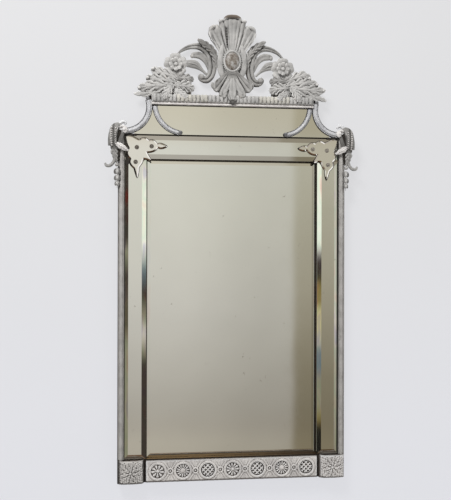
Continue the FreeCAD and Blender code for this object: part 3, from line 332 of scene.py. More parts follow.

# %% [markdown]
# ## Worn silver on carved wood
# The carving was primed with gesso, silvered and rubbed back: pale grey on the high parts, brown-black wax
# in the hollows, bare wood showing where hands and dusters wore it. The finish also paints light and shade
# there: a highlight on the high parts, and shade in the hollows and creases. Ambient occlusion nodes could
# find the hollows, but they are slow and are lost outside Blender, so each carved mesh carries numbers at
# every point: "relief", how far it stands off its close surroundings, "hollow", the same for wider ones, and
# on some pieces "bare", how much of the paint is worn off there, and one more for old wax and painted shade.

# %% Silver finish
def silvered_wood(name, pale, mid, deep):
    finish, tree, shader, place = new_finish(name)
    relief, hollow, bare, dirt = (marked(tree, mark) for mark in ("relief", "hollow", "bare", "dirt"))
    patches = noise(tree, place, 24.0, 5.0, 0.62)
    specks = noise(tree, place, 300.0, 3.0, 0.6)
    paint = ramp(tree, patches, (0.34, mid), (0.56, pale), (0.72, tuple(c * 1.08 for c in pale)))
    paint = blend(tree, eased(tree, noise(tree, place, 60.0, 4.0), 0.60, 0.74), paint, mid)
    # Painted light and shade mixed with real rubbing and wax: paler on raised parts as a highlight, and a dark wax
    # tone in wide hollows and small creases as the shade there.
    chalk_and_highlight, wax_and_shade = tuple(min(c * 1.5, 0.86) for c in pale), tuple(c * 0.22 for c in mid)
    paint = blend(tree, times(tree, eased(tree, hollow, -0.6, -4.5), 0.85), paint, wax_and_shade)
    paint = blend(tree, times(tree, eased(tree, hollow, 1.0, 5.0), 0.7), paint, chalk_and_highlight)
    shaky = sums(tree, "ADD", relief, times(tree, sums(tree, "SUBTRACT", specks, 0.5), 0.5))
    paint = blend(tree, times(tree, eased(tree, shaky, 0.25, 1.1), 0.6), paint, chalk_and_highlight)
    paint = blend(tree, times(tree, eased(tree, shaky, 0.0, -0.9), 0.95), paint, deep)
    rubbed = times(tree, eased(tree, relief, 0.25, 0.8), eased(tree, patches, 0.58, 0.75))
    paint = blend(tree, times(tree, rubbed, 0.4), paint, (0.30, 0.21, 0.13))
    # Old wax and, on most pieces, painted shade darken the paint where each piece marks them.
    paint = blend(tree, dirt, paint, tuple(c * 1.4 for c in deep))
    wood = ramp(tree, patches, (0.3, (0.03, 0.019, 0.011)), (0.7, (0.13, 0.085, 0.048)))
    feed(tree, shader.inputs["Base Color"], blend(tree, bare, paint, wood))
    feed(tree, shader.inputs["Roughness"], spread(tree, patches, 0.62, 0.38))
    shader.inputs["Metallic"].default_value = 0.12
    raise_grain(tree, shader, specks, 0.25, 0.0006)
    return finish


SILVER = silvered_wood("silvered_wood", (0.47, 0.46, 0.445), (0.33, 0.325, 0.315), (0.030, 0.027, 0.025))
WHITENED = silvered_wood("whitened_wood", (0.70, 0.67, 0.645), (0.53, 0.505, 0.49), (0.055, 0.045, 0.04))
CREAMED = silvered_wood("creamed_wood", (0.54, 0.52, 0.47), (0.40, 0.385, 0.35), (0.05, 0.04, 0.03))
# A darker copy of the silver: painted shade on the drop, the scrolls, the spray's foot and the ear hoods.
SHADED_GREY = silvered_wood("shaded_grey_wood", (0.33, 0.322, 0.31), (0.22, 0.213, 0.204), (0.022, 0.020, 0.018))
# A lighter, bluish copy of the silver: the tint of the arcs and bars, lightened as a painted highlight.
LIT_BLUE = silvered_wood("lit_blue_silver", (0.58, 0.58, 0.59), (0.42, 0.42, 0.435), (0.030, 0.029, 0.030))
# A darker copy of the whitened finish: painted shade for the left corner block.
SHADED_PALE = silvered_wood("shaded_pale_wood", (0.55, 0.53, 0.51), (0.41, 0.395, 0.38), (0.036, 0.032, 0.029))
RUBBED = silvered_wood("rubbed_wood", (0.46, 0.445, 0.425), (0.33, 0.315, 0.30), (0.030, 0.027, 0.025))


# Near black, for painted shadows in gaps and behind carving, and for the corner plates' blackened backing.
def shade_black():
    finish, tree, shader, place = new_finish("shade_black")
    tone = ramp(tree, noise(tree, place, 80.0), (0.3, (0.010, 0.009, 0.008)), (0.7, (0.040, 0.034, 0.029)))
    feed(tree, shader.inputs["Base Color"], tone)
    shader.inputs["Roughness"].default_value = 0.7
    return finish


SHADE_BLACK = shade_black()
FINISHES = (SILVER, WHITENED, CREAMED, SHADED_GREY, LIT_BLUE, SHADED_PALE, RUBBED, SHADE_BLACK)
print("finishes:", *(finish.name for finish in FINISHES))

# %% [markdown]
# ## Skins
# A carved ornament is a heap of overlapping leaves, bands and beads. Each is drawn as a closed skin, the
# skins of one piece are joined, and a voxel remesh melts them into one carved surface with soft creases
# where they meet, as a gouge leaves them. Booleans would give knife-sharp seams and fail on such shapes.

# %% Lines and skins
TINY = 1e-9


def through(marks, step):
    """Points on a smooth curve through marks, at steps counted from the second one; past the last they go round."""
    start = step.astype(int)
    share = (step - start)[:, None]
    before, first, second, after = (marks[(start + shift) % len(marks)] for shift in range(4))
    return 0.5 * (2 * first + (second - before) * share
                  + (2 * before - 5 * first + 4 * second - after) * share ** 2
                  + (3 * first - before - 3 * second + after) * share ** 3)


def smooth_line(strokes, count):
    """Evenly many points on a smooth curve through drawn points; further columns, such as widths, follow."""
    marks = np.array(strokes, float)
    marks = np.vstack([2 * marks[0] - marks[1], marks, 2 * marks[-1] - marks[-2]])
    return through(marks, np.linspace(0, len(marks) - 3 - TINY, count))


def rising(value, start, width):
    """0 up to start, and 1 from start + width on."""
    return np.clip((value - start) / width, 0, 1)


def falling(value, end, width):
    """1 up to end - width, and 0 from end on."""
    return np.clip((end - value) / width, 0, 1)


def unit(vectors):
    return vectors / np.maximum(np.linalg.norm(vectors, axis=-1, keepdims=True), TINY)


def directions(line):
    """Along a drawn line, across it and out of it."""
    ahead = unit(np.gradient(line[:, :3], axis=0))
    across = unit(np.cross(ahead, OUT))
    return ahead, across, np.cross(across, ahead)


def skin_between(front, back):
    """A closed skin between two grids of points of one size."""
    rows, columns = front.shape[:2]
    index = np.arange(rows * columns).reshape(rows, columns)
    quads = np.stack([index[:-1, :-1], index[:-1, 1:], index[1:, 1:], index[1:, :-1]], -1).reshape(-1, 4)
    rim = np.concatenate([index[0, :-1], index[:-1, -1], index[-1, :0:-1], index[:0:-1, 0]])
    following = np.roll(rim, -1)
    sides = np.stack([rim, rim + index.size, following + index.size, following], -1)
    points = np.concatenate([front.reshape(-1, 3), back.reshape(-1, 3)])
    return points, [tuple(q) for q in np.concatenate([quads, quads[:, ::-1] + index.size, sides])]


def skin_of_rings(rings):
    """A closed skin through rings of points, capped at both ends."""
    index = np.arange(rings.shape[0] * rings.shape[1]).reshape(rings.shape[:2])
    beside = np.roll(index, -1, axis=1)
    quads = np.stack([index[:-1], index[1:], beside[1:], beside[:-1]], -1).reshape(-1, 4)
    return rings.reshape(-1, 3), [tuple(q) for q in quads] + [tuple(index[0]), tuple(index[-1][::-1])]


print("lines and skins ready")

# %% Leaves, pipes, fans, bands and beads
def leaf(strokes, lobes=5, notch=0.36, crown=0.30, flute=0.24, lean=0.7, rib=0.13, thick=6.0):
    """An acanthus leaf along (across, up, out, half width) strokes: pipes sweep from its rib to a lobed edge."""
    rows = max(26, lobes * 9)
    line = smooth_line(strokes, rows)
    ahead, across, out = directions(line)
    width = np.maximum(line[:, 3], 0.7)[:, None]
    along, side = np.linspace(0, 1, rows)[:, None], np.linspace(-1, 1, 19)[None, :]
    pipes = np.abs(np.sin(np.pi * (along * lobes - lean * np.abs(side))))
    edge = np.abs(np.sin(np.pi * (along * lobes - lean)))
    reach = width * (1 - notch * (1 - edge ** 0.6))
    height = width * (crown * (1 - side ** 2)
                      + flute * (pipes ** 0.7 - 0.7) * np.clip((np.abs(side) - 0.1) / 0.4, 0, 1)
                      + rib * (np.exp(-(side / 0.11) ** 2) - 0.8 * np.exp(-((np.abs(side) - 0.28) / 0.12) ** 2)))
    flat = (line[:, None, :3] + across[:, None] * (side * reach)[..., None]
            + ahead[:, None] * (0.3 * lean * np.abs(side) ** 1.6 * width)[..., None])
    return skin_between(flat + out[:, None] * height[..., None], flat - out[:, None] * thick)


def pipe(strokes, crown=0.75, thick=6.0, tip=0.0, channel=0.0):
    """A plain rounded lobe, such as one pipe of a shell; tip notches its end, channel hollows its middle."""
    line = smooth_line(strokes, 30)
    ahead, across, out = directions(line)
    width = np.maximum(line[:, 3], 0.5)[:, None]
    along, side = np.linspace(0, 1, 30)[:, None], np.linspace(-1, 1, 13)[None, :]
    dome = np.sqrt(np.clip(1 - 0.96 * side ** 2, 0, 1))
    height = width * (crown * dome - channel * np.exp(-(side / 0.42) ** 2))
    dent = -tip * width * np.exp(-(side / 0.3) ** 2) * along ** 8
    flat = line[:, None, :3] + across[:, None] * (side * width)[..., None] + ahead[:, None] * dent[..., None]
    return skin_between(flat + out[:, None] * height[..., None], flat - out[:, None] * thick)


def fan(middle, reach, creases, out, rise, curl, turned=1, thick=7.0):
    """A fluted fan: reach gives (degrees, radius) of its edge, creases (degrees, depth, half width)."""
    edge = np.array(sorted([(-a, r) for a, r in reach if a] + list(reach)), float)
    angle = np.linspace(edge[0, 0], edge[-1, 0], 181)[None, :]
    share = np.linspace(0.12, 1.0, 44)[:, None]
    radius = np.interp(angle, edge[:, 0], edge[:, 1]) * share
    lip = np.exp(-((share - 0.93) / 0.09) ** 2) - 1.2 * (share > 0.985)
    height = out + rise * share ** 1.5 + curl * lip
    for place, depth, half in creases:
        for way in {place, -place}:
            height = height - depth * share ** 0.7 * np.exp(-((angle - way) / half) ** 2)
    front = np.stack([middle[0] + radius * np.sin(np.radians(angle)),
                      middle[1] + turned * radius * np.cos(np.radians(angle)), height], -1)
    back = front.copy()
    back[..., 2] = np.minimum(front[..., 2] - thick, out + rise * share ** 1.5 - thick)
    return skin_between(front, back)


def scroll_band(strokes, thick=8.0, proud=0.42):
    """A band of two beads with a channel between, as on a C-scroll."""
    line = smooth_line(strokes, 110)
    _, across, out = directions(line)
    width = line[:, 3][:, None]
    side = np.linspace(-1, 1, 21)[None, :]
    beads = np.sqrt(np.clip(1 - ((np.abs(side) - 0.52) / 0.48) ** 2, 0, 1))
    flat = line[:, None, :3] + across[:, None] * (side * width)[..., None]
    return skin_between(flat + out[:, None] * (proud * width * beads)[..., None], flat - out[:, None] * thick)


def rope(strokes, count=40):
    """A round rod along drawn (across, up, out, radius) strokes."""
    line = smooth_line(strokes, count)
    _, across, out = directions(line)
    angle = np.linspace(0, 2 * np.pi, 14, endpoint=False)[None, :, None]
    radius = np.maximum(line[:, 3], 0.3)[:, None, None]
    around = across[:, None] * np.cos(angle) + out[:, None] * np.sin(angle)
    return skin_of_rings(line[:, None, :3] + radius * around)


def bead(middle, across, up, out):
    """A ball, or an egg, with its three half sizes."""
    polar = np.linspace(0.08, np.pi - 0.08, 14)[:, None]
    angle = np.linspace(0, 2 * np.pi, 20, endpoint=False)[None, :]
    rings = np.stack([across * np.sin(polar) * np.cos(angle), up * np.cos(polar) + 0 * angle,
                      out * np.sin(polar) * np.sin(angle)], -1)
    return skin_of_rings(rings + np.array(middle, float))


def slab(outline, back, front):
    """A flat board cut to a drawn outline."""
    around = np.array(outline, float)
    rings = np.stack([np.column_stack([around, np.full(len(around), level)]) for level in (back, front)])
    return skin_of_rings(rings)


def mirrored(skin, side):
    points, faces = skin
    if side > 0:
        return skin
    return points * np.array([-1.0, 1.0, 1.0]), [face[::-1] for face in faces]


def moved(skin, across=0.0, up=0.0, out=0.0):
    return skin[0] + np.array([across, up, out]), skin[1]


print("carver's shapes ready")

# %% Pieces made from skins
WIDE_ROUNDS = 90  # rounds of smoothing that give a carved piece its wide surroundings


def drop_crumbs(mesh, fewest=60):
    """Takes away the tiny loose shells that a remesh can leave behind."""
    count = len(mesh.vertices)
    ends = np.empty(len(mesh.edges) * 2, int)
    mesh.edges.foreach_get("vertices", ends)
    start, end = ends.reshape(-1, 2).T
    shell, before = np.arange(count), np.full(count, -1)
    while (shell != before).any():
        before = shell.copy()
        lowest = np.minimum(shell[start], shell[end])
        np.minimum.at(shell, start, lowest)
        np.minimum.at(shell, end, lowest)
        shell = shell[shell]
    crumbs = np.flatnonzero(np.bincount(shell, minlength=count)[shell] < fewest)
    if len(crumbs):
        work = bmesh.new()
        work.from_mesh(mesh)
        work.verts.ensure_lookup_table()
        bmesh.ops.delete(work, geom=[work.verts[index] for index in crumbs], context="VERTS")
        work.to_mesh(mesh)
        work.free()
        print(f"{mesh.name}: {len(crumbs)} loose points taken away")


def note_relief(mesh, rounds, wide_rounds):
    """Stores how far each point stands above its smoothed surroundings, close and wide, in millimetres."""
    count = len(mesh.vertices)
    points = np.empty(count * 3)
    mesh.vertices.foreach_get("co", points)
    points = points.reshape(-1, 3)
    ends = np.empty(len(mesh.edges) * 2, int)
    mesh.edges.foreach_get("vertices", ends)
    start, end = ends.reshape(-1, 2).T
    degree = np.maximum(np.bincount(ends, minlength=count), 1)
    normals = np.empty(count * 3)
    mesh.vertex_normals.foreach_get("vector", normals)
    normals = normals.reshape(-1, 3)
    smooth, done = points.copy(), 0
    for name, goal, ways in (("relief", rounds, normals), ("hollow", wide_rounds, np.array([0.0, -1.0, 0.0]))):
        for _ in range(done, goal):
            beside = [np.bincount(start, smooth[end, axis], count) + np.bincount(end, smooth[start, axis], count)
                      for axis in range(3)]
            smooth = np.stack(beside, 1) / degree[:, None]
        done = max(done, goal)
        stands = ((points - smooth) * ways).sum(1) / MM if goal else np.zeros(count)
        if name == "hollow":
            stands = stands * falling(normals[:, 1], 0.35, 0.5)
        mesh.attributes.new(name, "FLOAT", "POINT").data.foreach_set("value", stands.astype(np.float32))
    return points


def piece_of(name, skins, stands_for, finish, side=1, slot="silvered_wood", voxel=0.0, rounds=14, wide=0,
             bare=None, dirt=None, crease=40):
    """One mesh object from skins drawn for the right; a voxel size, in mm, melts them into one carved surface."""
    skins = [mirrored(skin, side) for skin in skins]
    starts = np.cumsum([0] + [len(points) for points, _ in skins])
    faces = [tuple(int(corner + start) for corner in face)
             for (_, skin_faces), start in zip(skins, starts) for face in skin_faces]
    mesh = bpy.data.meshes.new(name)
    mesh.from_pydata(placed(np.concatenate([points for points, _ in skins])).tolist(), [], faces)
    piece = bpy.data.objects.new(name, mesh)
    scene.collection.objects.link(piece)
    if voxel:
        melt = piece.modifiers.new("melt", "REMESH")
        melt.mode, melt.voxel_size = "VOXEL", voxel * MM
        soften = piece.modifiers.new("soften", "SMOOTH")
        soften.factor, soften.iterations = 0.5, 2
        carved = bpy.data.meshes.new_from_object(piece.evaluated_get(bpy.context.evaluated_depsgraph_get()))
        piece.modifiers.clear()
        piece.data = carved
        bpy.data.meshes.remove(mesh)
        carved.name = name
        drop_crumbs(carved)
    piece.data.shade_smooth()
    if not voxel:
        piece.data.set_sharp_from_angle(angle=math.radians(crease))
    points = note_relief(piece.data, rounds, WIDE_ROUNDS if voxel else wide)
    drawn = np.stack([points[:, 0], points[:, 2] - FOOT, -points[:, 1]], 1) / MM
    for mark, share_at in (("bare", bare), ("dirt", dirt)):
        if share_at is not None:
            values = share_at(*drawn.T).astype(np.float32)
            piece.data.attributes.new(mark, "FLOAT", "POINT").data.foreach_set("value", values)
    piece.data.materials.append(finish)
    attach(piece, "mirror")
    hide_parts(*stands_for)
    print(f"{name}: {len(piece.data.polygons)} faces")


print("pieces are melted from skins, and carry relief, hollow, bare and dirt")

# %% [markdown]
# ## Looking glass
# The plates are old silvered glass: a grey-cream cast, faint ripples, brown foxing, and cut bevels that
# split the light into colours. The CAD solids already have the right bevels, so the plates stay and get a
# finish. Its ripples come from a very low bump, and the colours on the bevels are painted on, in bands of
# tint where the face leans.

# %% Plates
def looking_glass(name, cast, foxing, painted_rainbows):
    finish, tree, shader, place = new_finish(name)
    haze = noise(tree, place, 2.6, 3.0)
    spots = noise(tree, place, 36.0, 5.0, 0.7)
    tint = ramp(tree, haze, (0.35, tuple(c * 0.95 for c in cast)), (0.65, cast))
    lean = axes_of(tree, add(tree, "ShaderNodeNewGeometry").outputs["True Normal"])["X"]
    aslant = eased(tree, sums(tree, "ABSOLUTE", lean), 0.08, 0.14)
    bands = noise(tree, stretched(tree, place, (30.0, 30.0, 7.0)), 1.0, 2.0)
    # Painted rainbow colours on the bevel faces that lean aside.
    painted_rainbow = ramp(tree, bands, (0.30, (0.75, 0.32, 0.28)), (0.40, (0.88, 0.84, 0.72)), (0.48, (0.62, 0.80, 0.68)),
                   (0.56, (0.90, 0.88, 0.84)), (0.63, (0.60, 0.55, 0.82)), (0.72, (0.50, 0.70, 0.85)))
    tint = blend(tree, times(tree, aslant, painted_rainbows), tint, painted_rainbow)
    tint = blend(tree, times(tree, eased(tree, spots, 0.66, 0.78), foxing), tint, (0.16, 0.12, 0.08))
    feed(tree, shader.inputs["Base Color"], tint)
    shader.inputs["Metallic"].default_value = 1.0
    feed(tree, shader.inputs["Roughness"], spread(tree, spots, 0.02, 0.07))
    raise_grain(tree, shader, noise(tree, place, 5.0, 1.0), 0.06, 0.004)
    return finish


def finish_nodes(names, finish):
    for name in names:
        cad[name].data.materials.clear()
        cad[name].data.materials.append(finish)


GLASS = looking_glass("looking_glass", cast=(0.93, 0.92, 0.88), foxing=0.5, painted_rainbows=0.5)
CLEAR_GLASS = looking_glass("clear_looking_glass", cast=(0.99, 0.95, 0.91), foxing=0.3, painted_rainbows=0.1)
PLATES = [n for n in cad if n.endswith("_plate") or "_plate_" in n]
finish_nodes(PLATES, GLASS)
print("plates:", ", ".join(sorted(PLATES)))

# %% [markdown]
# ## Carcass and back
# Behind the glass is plain joinery: a pegged pine frame, tongued backboards, a board behind the pediment
# and a batten for the crest. Its front and inner edges were stained black so that they don't show in the
# bevels, and the black also paints the shade in the recesses and gaps where they show. Each face could get a
# finish of its own. Here one finish tells the faces apart by where they look: it is black on all that don't
# look to the wall, with brown dust on the ledges that darkens toward the right.

# %% Pine and steel
def pine(name, stained_and_shaded):
    finish, tree, shader, place = new_finish(name)
    from_middle = axes_of(tree, place)["X"]
    apart = times(tree, add(tree, "ShaderNodeObjectInfo").outputs["Random"], 9.0)
    place = add(tree, "ShaderNodeVectorMath", {"operation": "ADD"}, {0: place, 1: apart}).outputs[0]
    bend = noise(tree, stretched(tree, place, (5.0, 5.0, 0.8)), 1.0, 2.0)
    across = axes_of(tree, place)["X"]
    rings = sums(tree, "ADD", times(tree, across, 16.0), times(tree, bend, 11.0))
    bands = sums(tree, "PINGPONG", rings, 0.5)
    fibre = noise(tree, stretched(tree, place, (420.0, 420.0, 14.0)), 1.0, 3.0)
    wood = ramp(tree, bands, (0.0, (0.33, 0.20, 0.10)), (0.16, (0.42, 0.27, 0.145)), (0.5, (0.50, 0.345, 0.20)))
    wood = blend(tree, times(tree, fibre, 0.5), wood, (0.26, 0.16, 0.085))
    aged = eased(tree, noise(tree, place, 3.0, 5.0), 0.5, 0.8)
    wood = blend(tree, times(tree, aged, 0.6), wood, (0.22, 0.15, 0.09))
    # Black stain that also paints the shade in recesses and gaps, and brown dust on ledges, darker toward the right.
    if stained_and_shaded:
        faces = axes_of(tree, add(tree, "ShaderNodeNewGeometry").outputs["True Normal"])
        ahead = eased(tree, faces["Y"], 0.6, 0.3)
        stain_and_shade = ramp(tree, fibre, (0.3, (0.010, 0.008, 0.007)), (0.7, (0.030, 0.022, 0.017)))
        dust = ramp(tree, fibre, (0.3, (0.12, 0.075, 0.032)), (0.7, (0.22, 0.145, 0.068)))
        dust = blend(tree, eased(tree, from_middle, -0.15, 0.28), dust, (0.040, 0.024, 0.012))
        stain_and_shade = blend(tree, eased(tree, faces["Z"], 0.5, 0.8), stain_and_shade, dust)
        wood = blend(tree, ahead, wood, stain_and_shade)
    feed(tree, shader.inputs["Base Color"], wood)
    feed(tree, shader.inputs["Roughness"], spread(tree, fibre, 0.55, 0.8))
    raise_grain(tree, shader, fibre, 0.3, 0.0008)
    return finish


def worn_steel():
    finish, tree, shader, place = new_finish("worn_steel")
    rust = noise(tree, place, 90.0, 5.0, 0.65)
    tone = ramp(tree, rust, (0.35, (0.33, 0.32, 0.31)), (0.56, (0.24, 0.22, 0.20)), (0.70, (0.17, 0.09, 0.05)))
    feed(tree, shader.inputs["Base Color"], tone)
    shader.inputs["Metallic"].default_value = 0.9
    feed(tree, shader.inputs["Roughness"], spread(tree, rust, 0.3, 0.65))
    raise_grain(tree, shader, noise(tree, place, 700.0), 0.2, 0.0003)
    return finish


STAINED_AND_SHADED = [n for n in cad if n.startswith("carcass_")] + ["pediment_backing", "pediment_dowels"]
BARE_PINE = [n for n in cad if n.startswith("back_plank")] + ["crest_brace", "tenon_pegs"]
STEEL = [n for n in cad if n.startswith("hanger_") or n.endswith("screws")]
finish_nodes(STAINED_AND_SHADED, pine("stained_and_shaded_pine", True))
finish_nodes(BARE_PINE, pine("bare_pine", False))
finish_nodes(STEEL, worn_steel())
print(f"{len(STAINED_AND_SHADED)} stained, {len(BARE_PINE)} bare and {len(STEEL)} steel nodes")

# %% [markdown]
# ## Mouldings
# Slim mouldings lap the edges of the plates: straight ones up the sides, hollow arcs at the ends of the
# pediment, and curved bars over the joints of its plates. Each is one profile run along a line, which is
# how a joiner's plane makes them. A curve with a bevel object would do it too, but a swept grid keeps the
# profile's edges exactly on the plates.

# %% Profile and sweep
def reeded(half, low, high, steps=25):
    """A profile with a round middle between two small fillets, as (across, out) points from edge to edge."""
    across = np.linspace(-1, 1, steps)
    middle = np.sqrt(np.clip(1 - (across / 0.62) ** 2, 0, 1))
    edges = np.clip((np.abs(across) - 0.70) / 0.06, 0, 1) * np.clip((1.0 - np.abs(across)) / 0.04, 0, 1)
    return np.column_stack([across * half, low + (high - low) * np.maximum(0.25 + 0.75 * middle, 0.55 * edges)])


def swept(line, profile, back):
    """A closed moulding: the profile carried along a line drawn on the face, with a flat back."""
    _, across, _ = directions(line)
    ring = np.vstack([profile, [[profile[-1, 0], back], [profile[0, 0], back]]])
    return skin_of_rings(line[:, None, :3] + across[:, None] * ring[None, :, :1] + OUT * ring[None, :, 1:])


def arc(middle, radius, start, end, count=60):
    angle = np.radians(np.linspace(start, end, count))
    return np.column_stack([middle[0] + radius * np.cos(angle), middle[1] + radius * np.sin(angle), 0 * angle])


PLATE_FACE, MOULDING_BACK, MOULDING_FRONT = 37.2, 32, 46  # out from the wall
ARC_PLACE, ARC_RADIUS, ARC_FROM, ARC_TO = np.array([HALF_BODY - 21, CREST_FOOT - 42]), 84.5, 164, 272
BAR_PLACE, BAR_RADIUS, BAR_FROM, BAR_TO = np.array([170, CREST_FOOT - 32]), 99, 279, 356
VOLUTE = ((2, -83, 40, 8), (13, -77, 41, 8), (16, -65, 42, 7), (8, -55, 42, 6), (-3, -56, 42, 5), (-5, -63, 42, 4))
print("arcs about", ARC_PLACE, "bars about", BAR_PLACE)

# %% Stile mouldings, arcs and bars
for label, side in SIDES:
    low, high = drawn_box(f"stile_moulding_{label}")
    middle, half = (low[0] + high[0]) / 2, (high[0] - low[0]) / 2
    ends = np.arange(4)
    rows = np.concatenate([low[1] + ends, np.linspace(low[1] + 30, high[1] - 30, 38), high[1] - ends[::-1]])
    upright = np.column_stack([np.full(len(rows), middle), rows, np.zeros(len(rows))])
    piece_of(f"stile_reed_{label}", [swept(upright, reeded(half, PLATE_FACE, high[2]), PLATE_FACE)],
             [f"stile_moulding_{label}"], RUBBED, rounds=3)
    hollow = swept(arc(ARC_PLACE, ARC_RADIUS, ARC_FROM, ARC_TO), reeded(10.5, PLATE_FACE, MOULDING_FRONT),
                   MOULDING_BACK)
    volute = rope([(ARC_PLACE[0] + x, ARC_PLACE[1] + z, out, radius) for x, z, out, radius in VOLUTE], 30)
    tip = arc(ARC_PLACE, ARC_RADIUS, ARC_FROM, ARC_FROM)[0]
    piece_of(f"pediment_hollow_{label}", [hollow, volute, bead((tip[0] + 2, tip[1] + 3, 40), 7, 7, 6)],
             [f"pediment_arc_{label}"], LIT_BLUE, side, rounds=3)
    # A dark slab under the arc's foot, where its underside would show: painted shadow in that gap.
    gap = slab([(330, BODY_TOP - 2.5), (372, BODY_TOP - 2.5), (372, BODY_TOP + 3), (330, BODY_TOP + 3)], 32.2, 39)
    piece_of(f"pediment_ground_{label}", [gap], [f"pediment_arc_{label}"], SHADE_BLACK, side, rounds=0)
    bar = swept(arc(BAR_PLACE, BAR_RADIUS, BAR_FROM, BAR_TO), reeded(9.0, PLATE_FACE, MOULDING_FRONT), MOULDING_BACK)
    foot = arc(BAR_PLACE, BAR_RADIUS, BAR_FROM, BAR_FROM)[0]
    piece_of(f"pediment_reed_{label}", [bar, bead((foot[0] - 2, foot[1] + 1, 41), 9, 7.5, 6)],
             [f"pediment_bar_{label}"], LIT_BLUE, side, rounds=3)

# %% [markdown]
# ## Foot rail and blocks
# The rail along the foot is carved in low relief with a chain of seven large rings and six small ones, a
# flower or a lattice in each, between two corner blocks with a broad flower. Low relief has no undercuts,
# so each panel is a grid of heights worked out from the distance and bearing to its rings: the way a carver
# sets it out with compasses. Modelling every petal as a solid would give no more than this.

# %% Low relief
def round_over(distance, half, height):
    """A half-round bead of that half width and height about distance 0."""
    return height * np.sqrt(np.clip(1 - (distance / half) ** 2, 0, 1))


def flower_relief(away, bearing, petals, inner, outer, height, heart, sharp=1.0):
    """Separate petals between two radii, about a round heart."""
    wave = (0.5 + 0.5 * np.cos(bearing * petals)) ** sharp
    body = round_over(away - (inner + outer) / 2, (outer - inner) / 2, 1.0) ** 0.7
    return np.maximum(height * body * wave, round_over(away, heart, height * 1.15))


def lattice_relief(across, up, away, outer, height, pitch):
    """Crossing ridges set on their corners, ending at a radius."""
    ridges = 0 * away
    for lean in (1, -1):
        line = (across + lean * up) / math.sqrt(2) / pitch
        ridges = np.maximum(ridges, round_over((line - np.round(line)) * pitch, pitch * 0.24, height))
    return ridges * np.clip((outer - away) / 2.5, 0, 1)


def relief_skin(left, right, bottom, top, back, height_at, step=1.15, slope=9.0):
    """A panel whose front is a grid of heights, with a flat back and a top ledge that slopes back."""
    across, up = np.meshgrid(np.linspace(left, right, int((right - left) / step)),
                             np.linspace(bottom, top, int((top - bottom) / step)))
    front = np.stack([across, up, height_at(across, up)], -1)
    behind = bottom + (up - bottom) * (1 - slope / (top - bottom))
    return skin_between(front, np.stack([across, behind, np.full_like(up, back)], -1))


def edge_fall(across, up, left, right, bottom, top, soft):
    """1 on the panel, easing to 0 at its edges."""
    gap = np.minimum(np.minimum(across - left, right - across), np.minimum(up - bottom, top - up))
    return np.sqrt(np.clip(1 - (1 - np.clip(gap / soft, 0, 1)) ** 2, 0, 1))


print("low relief ready")

# %% Foot rail
RING_RADIUS, RING_BEAD, SMALL_RING, SMALL_BEAD = 27.5, 4.4, 8.6, 3.4
rail_low, rail_high = drawn_box("base_rail")
ring_low, ring_high = drawn_box("rail_medallions")
RING_PITCH = (ring_high[0] - ring_low[0] - (ring_high[1] - ring_low[1])) / 6
RAIL_MIDDLE = (rail_low[1] + rail_high[1]) / 2


def rail_height(across, up):
    """How far the rail's front stands out: ground, rings, and what is carved in and between them."""
    ground = rail_high[2] - 6.0
    up = up - RAIL_MIDDLE
    count = np.clip(np.round(across / RING_PITCH), -3, 3)
    near = across - count * RING_PITCH
    away, bearing = np.hypot(near, up), np.arctan2(up, near)
    ring = 3.4 + round_over(away - RING_RADIUS, RING_BEAD, 2.6)
    kind = np.abs(count)
    middle_flower = flower_relief(away, bearing, petals=11, inner=5, outer=23, height=6.0, heart=6.5, sharp=0.8)
    lattice = lattice_relief(near, up, away, outer=22, height=5.4, pitch=10.5)
    daisy = flower_relief(away, bearing + 0.3, petals=14, inner=8, outer=23, height=5.4, heart=9.5, sharp=0.7)
    end_flower = flower_relief(away, bearing + 0.2, petals=9, inner=4, outer=23, height=6.0, heart=6.0, sharp=0.8)
    motif = np.select([kind == 0, (kind == 1) | (count == 3), kind == 2], [middle_flower, lattice, daisy], end_flower)
    small = np.clip(np.floor(across / RING_PITCH), -3, 2) + 0.5
    beside = across - small * RING_PITCH
    small_away, small_bearing = np.hypot(beside, up), np.arctan2(up, beside)
    small_ring = round_over(small_away - SMALL_RING, SMALL_BEAD, 2.6) - 2.2 * (small_away < SMALL_RING - 2.6)
    small_ring = np.maximum(small_ring, round_over(small_away, 3.2, 1.4) - 1.2)
    arms = round_over(np.abs(np.abs(up) - 1.5 * np.abs(beside)) / 1.8, 3.0, 1.8) * (small_away > SMALL_RING)
    fluted = (np.abs(np.abs(small_bearing) - np.pi / 2) < 0.78) & (small_away > 15)
    flutes = np.where(fluted, 3.0 * np.abs(np.cos(small_bearing * 7)) - 1.9, -0.6)
    between = 3.2 + np.where(small_away < SMALL_RING + SMALL_BEAD, small_ring, np.maximum(arms, flutes))
    inside = np.where(motif > 0, motif - 1.5, -1.5)
    shape = np.select([away < RING_RADIUS - RING_BEAD, away < RING_RADIUS + RING_BEAD], [inside, ring], between)
    fall = edge_fall(across, up + RAIL_MIDDLE, rail_low[0], rail_high[0], rail_low[1], rail_high[1], 4.0)
    return ground + shape * fall - 2.0 * (1 - fall)


def dust_and_darker_edges(low, high):
    """Brown dust on a panel's back and ledge, darker along its top edge, and painted shade along its bottom edge."""
    def dust(across, up, out):
        return np.where(out < high[2] - 14, 0.25, (up > high[1] - 0.6) * 0.9)

    def darker_edges(across, up, out):
        return np.maximum(rising(up, high[1] - 5, 4), falling(up, low[1] + 8.5, 3) * 1.45) * 0.6

    return dust, darker_edges


dust, darker_edges = dust_and_darker_edges(rail_low, rail_high)
piece_of("foot_rail_carving",
         [relief_skin(rail_low[0], rail_high[0], rail_low[1], rail_high[1], rail_low[2], rail_height)],
         ["base_rail", "rail_medallions", "rail_beads"], WHITENED, rounds=5, wide=30, bare=dust, dirt=darker_edges)
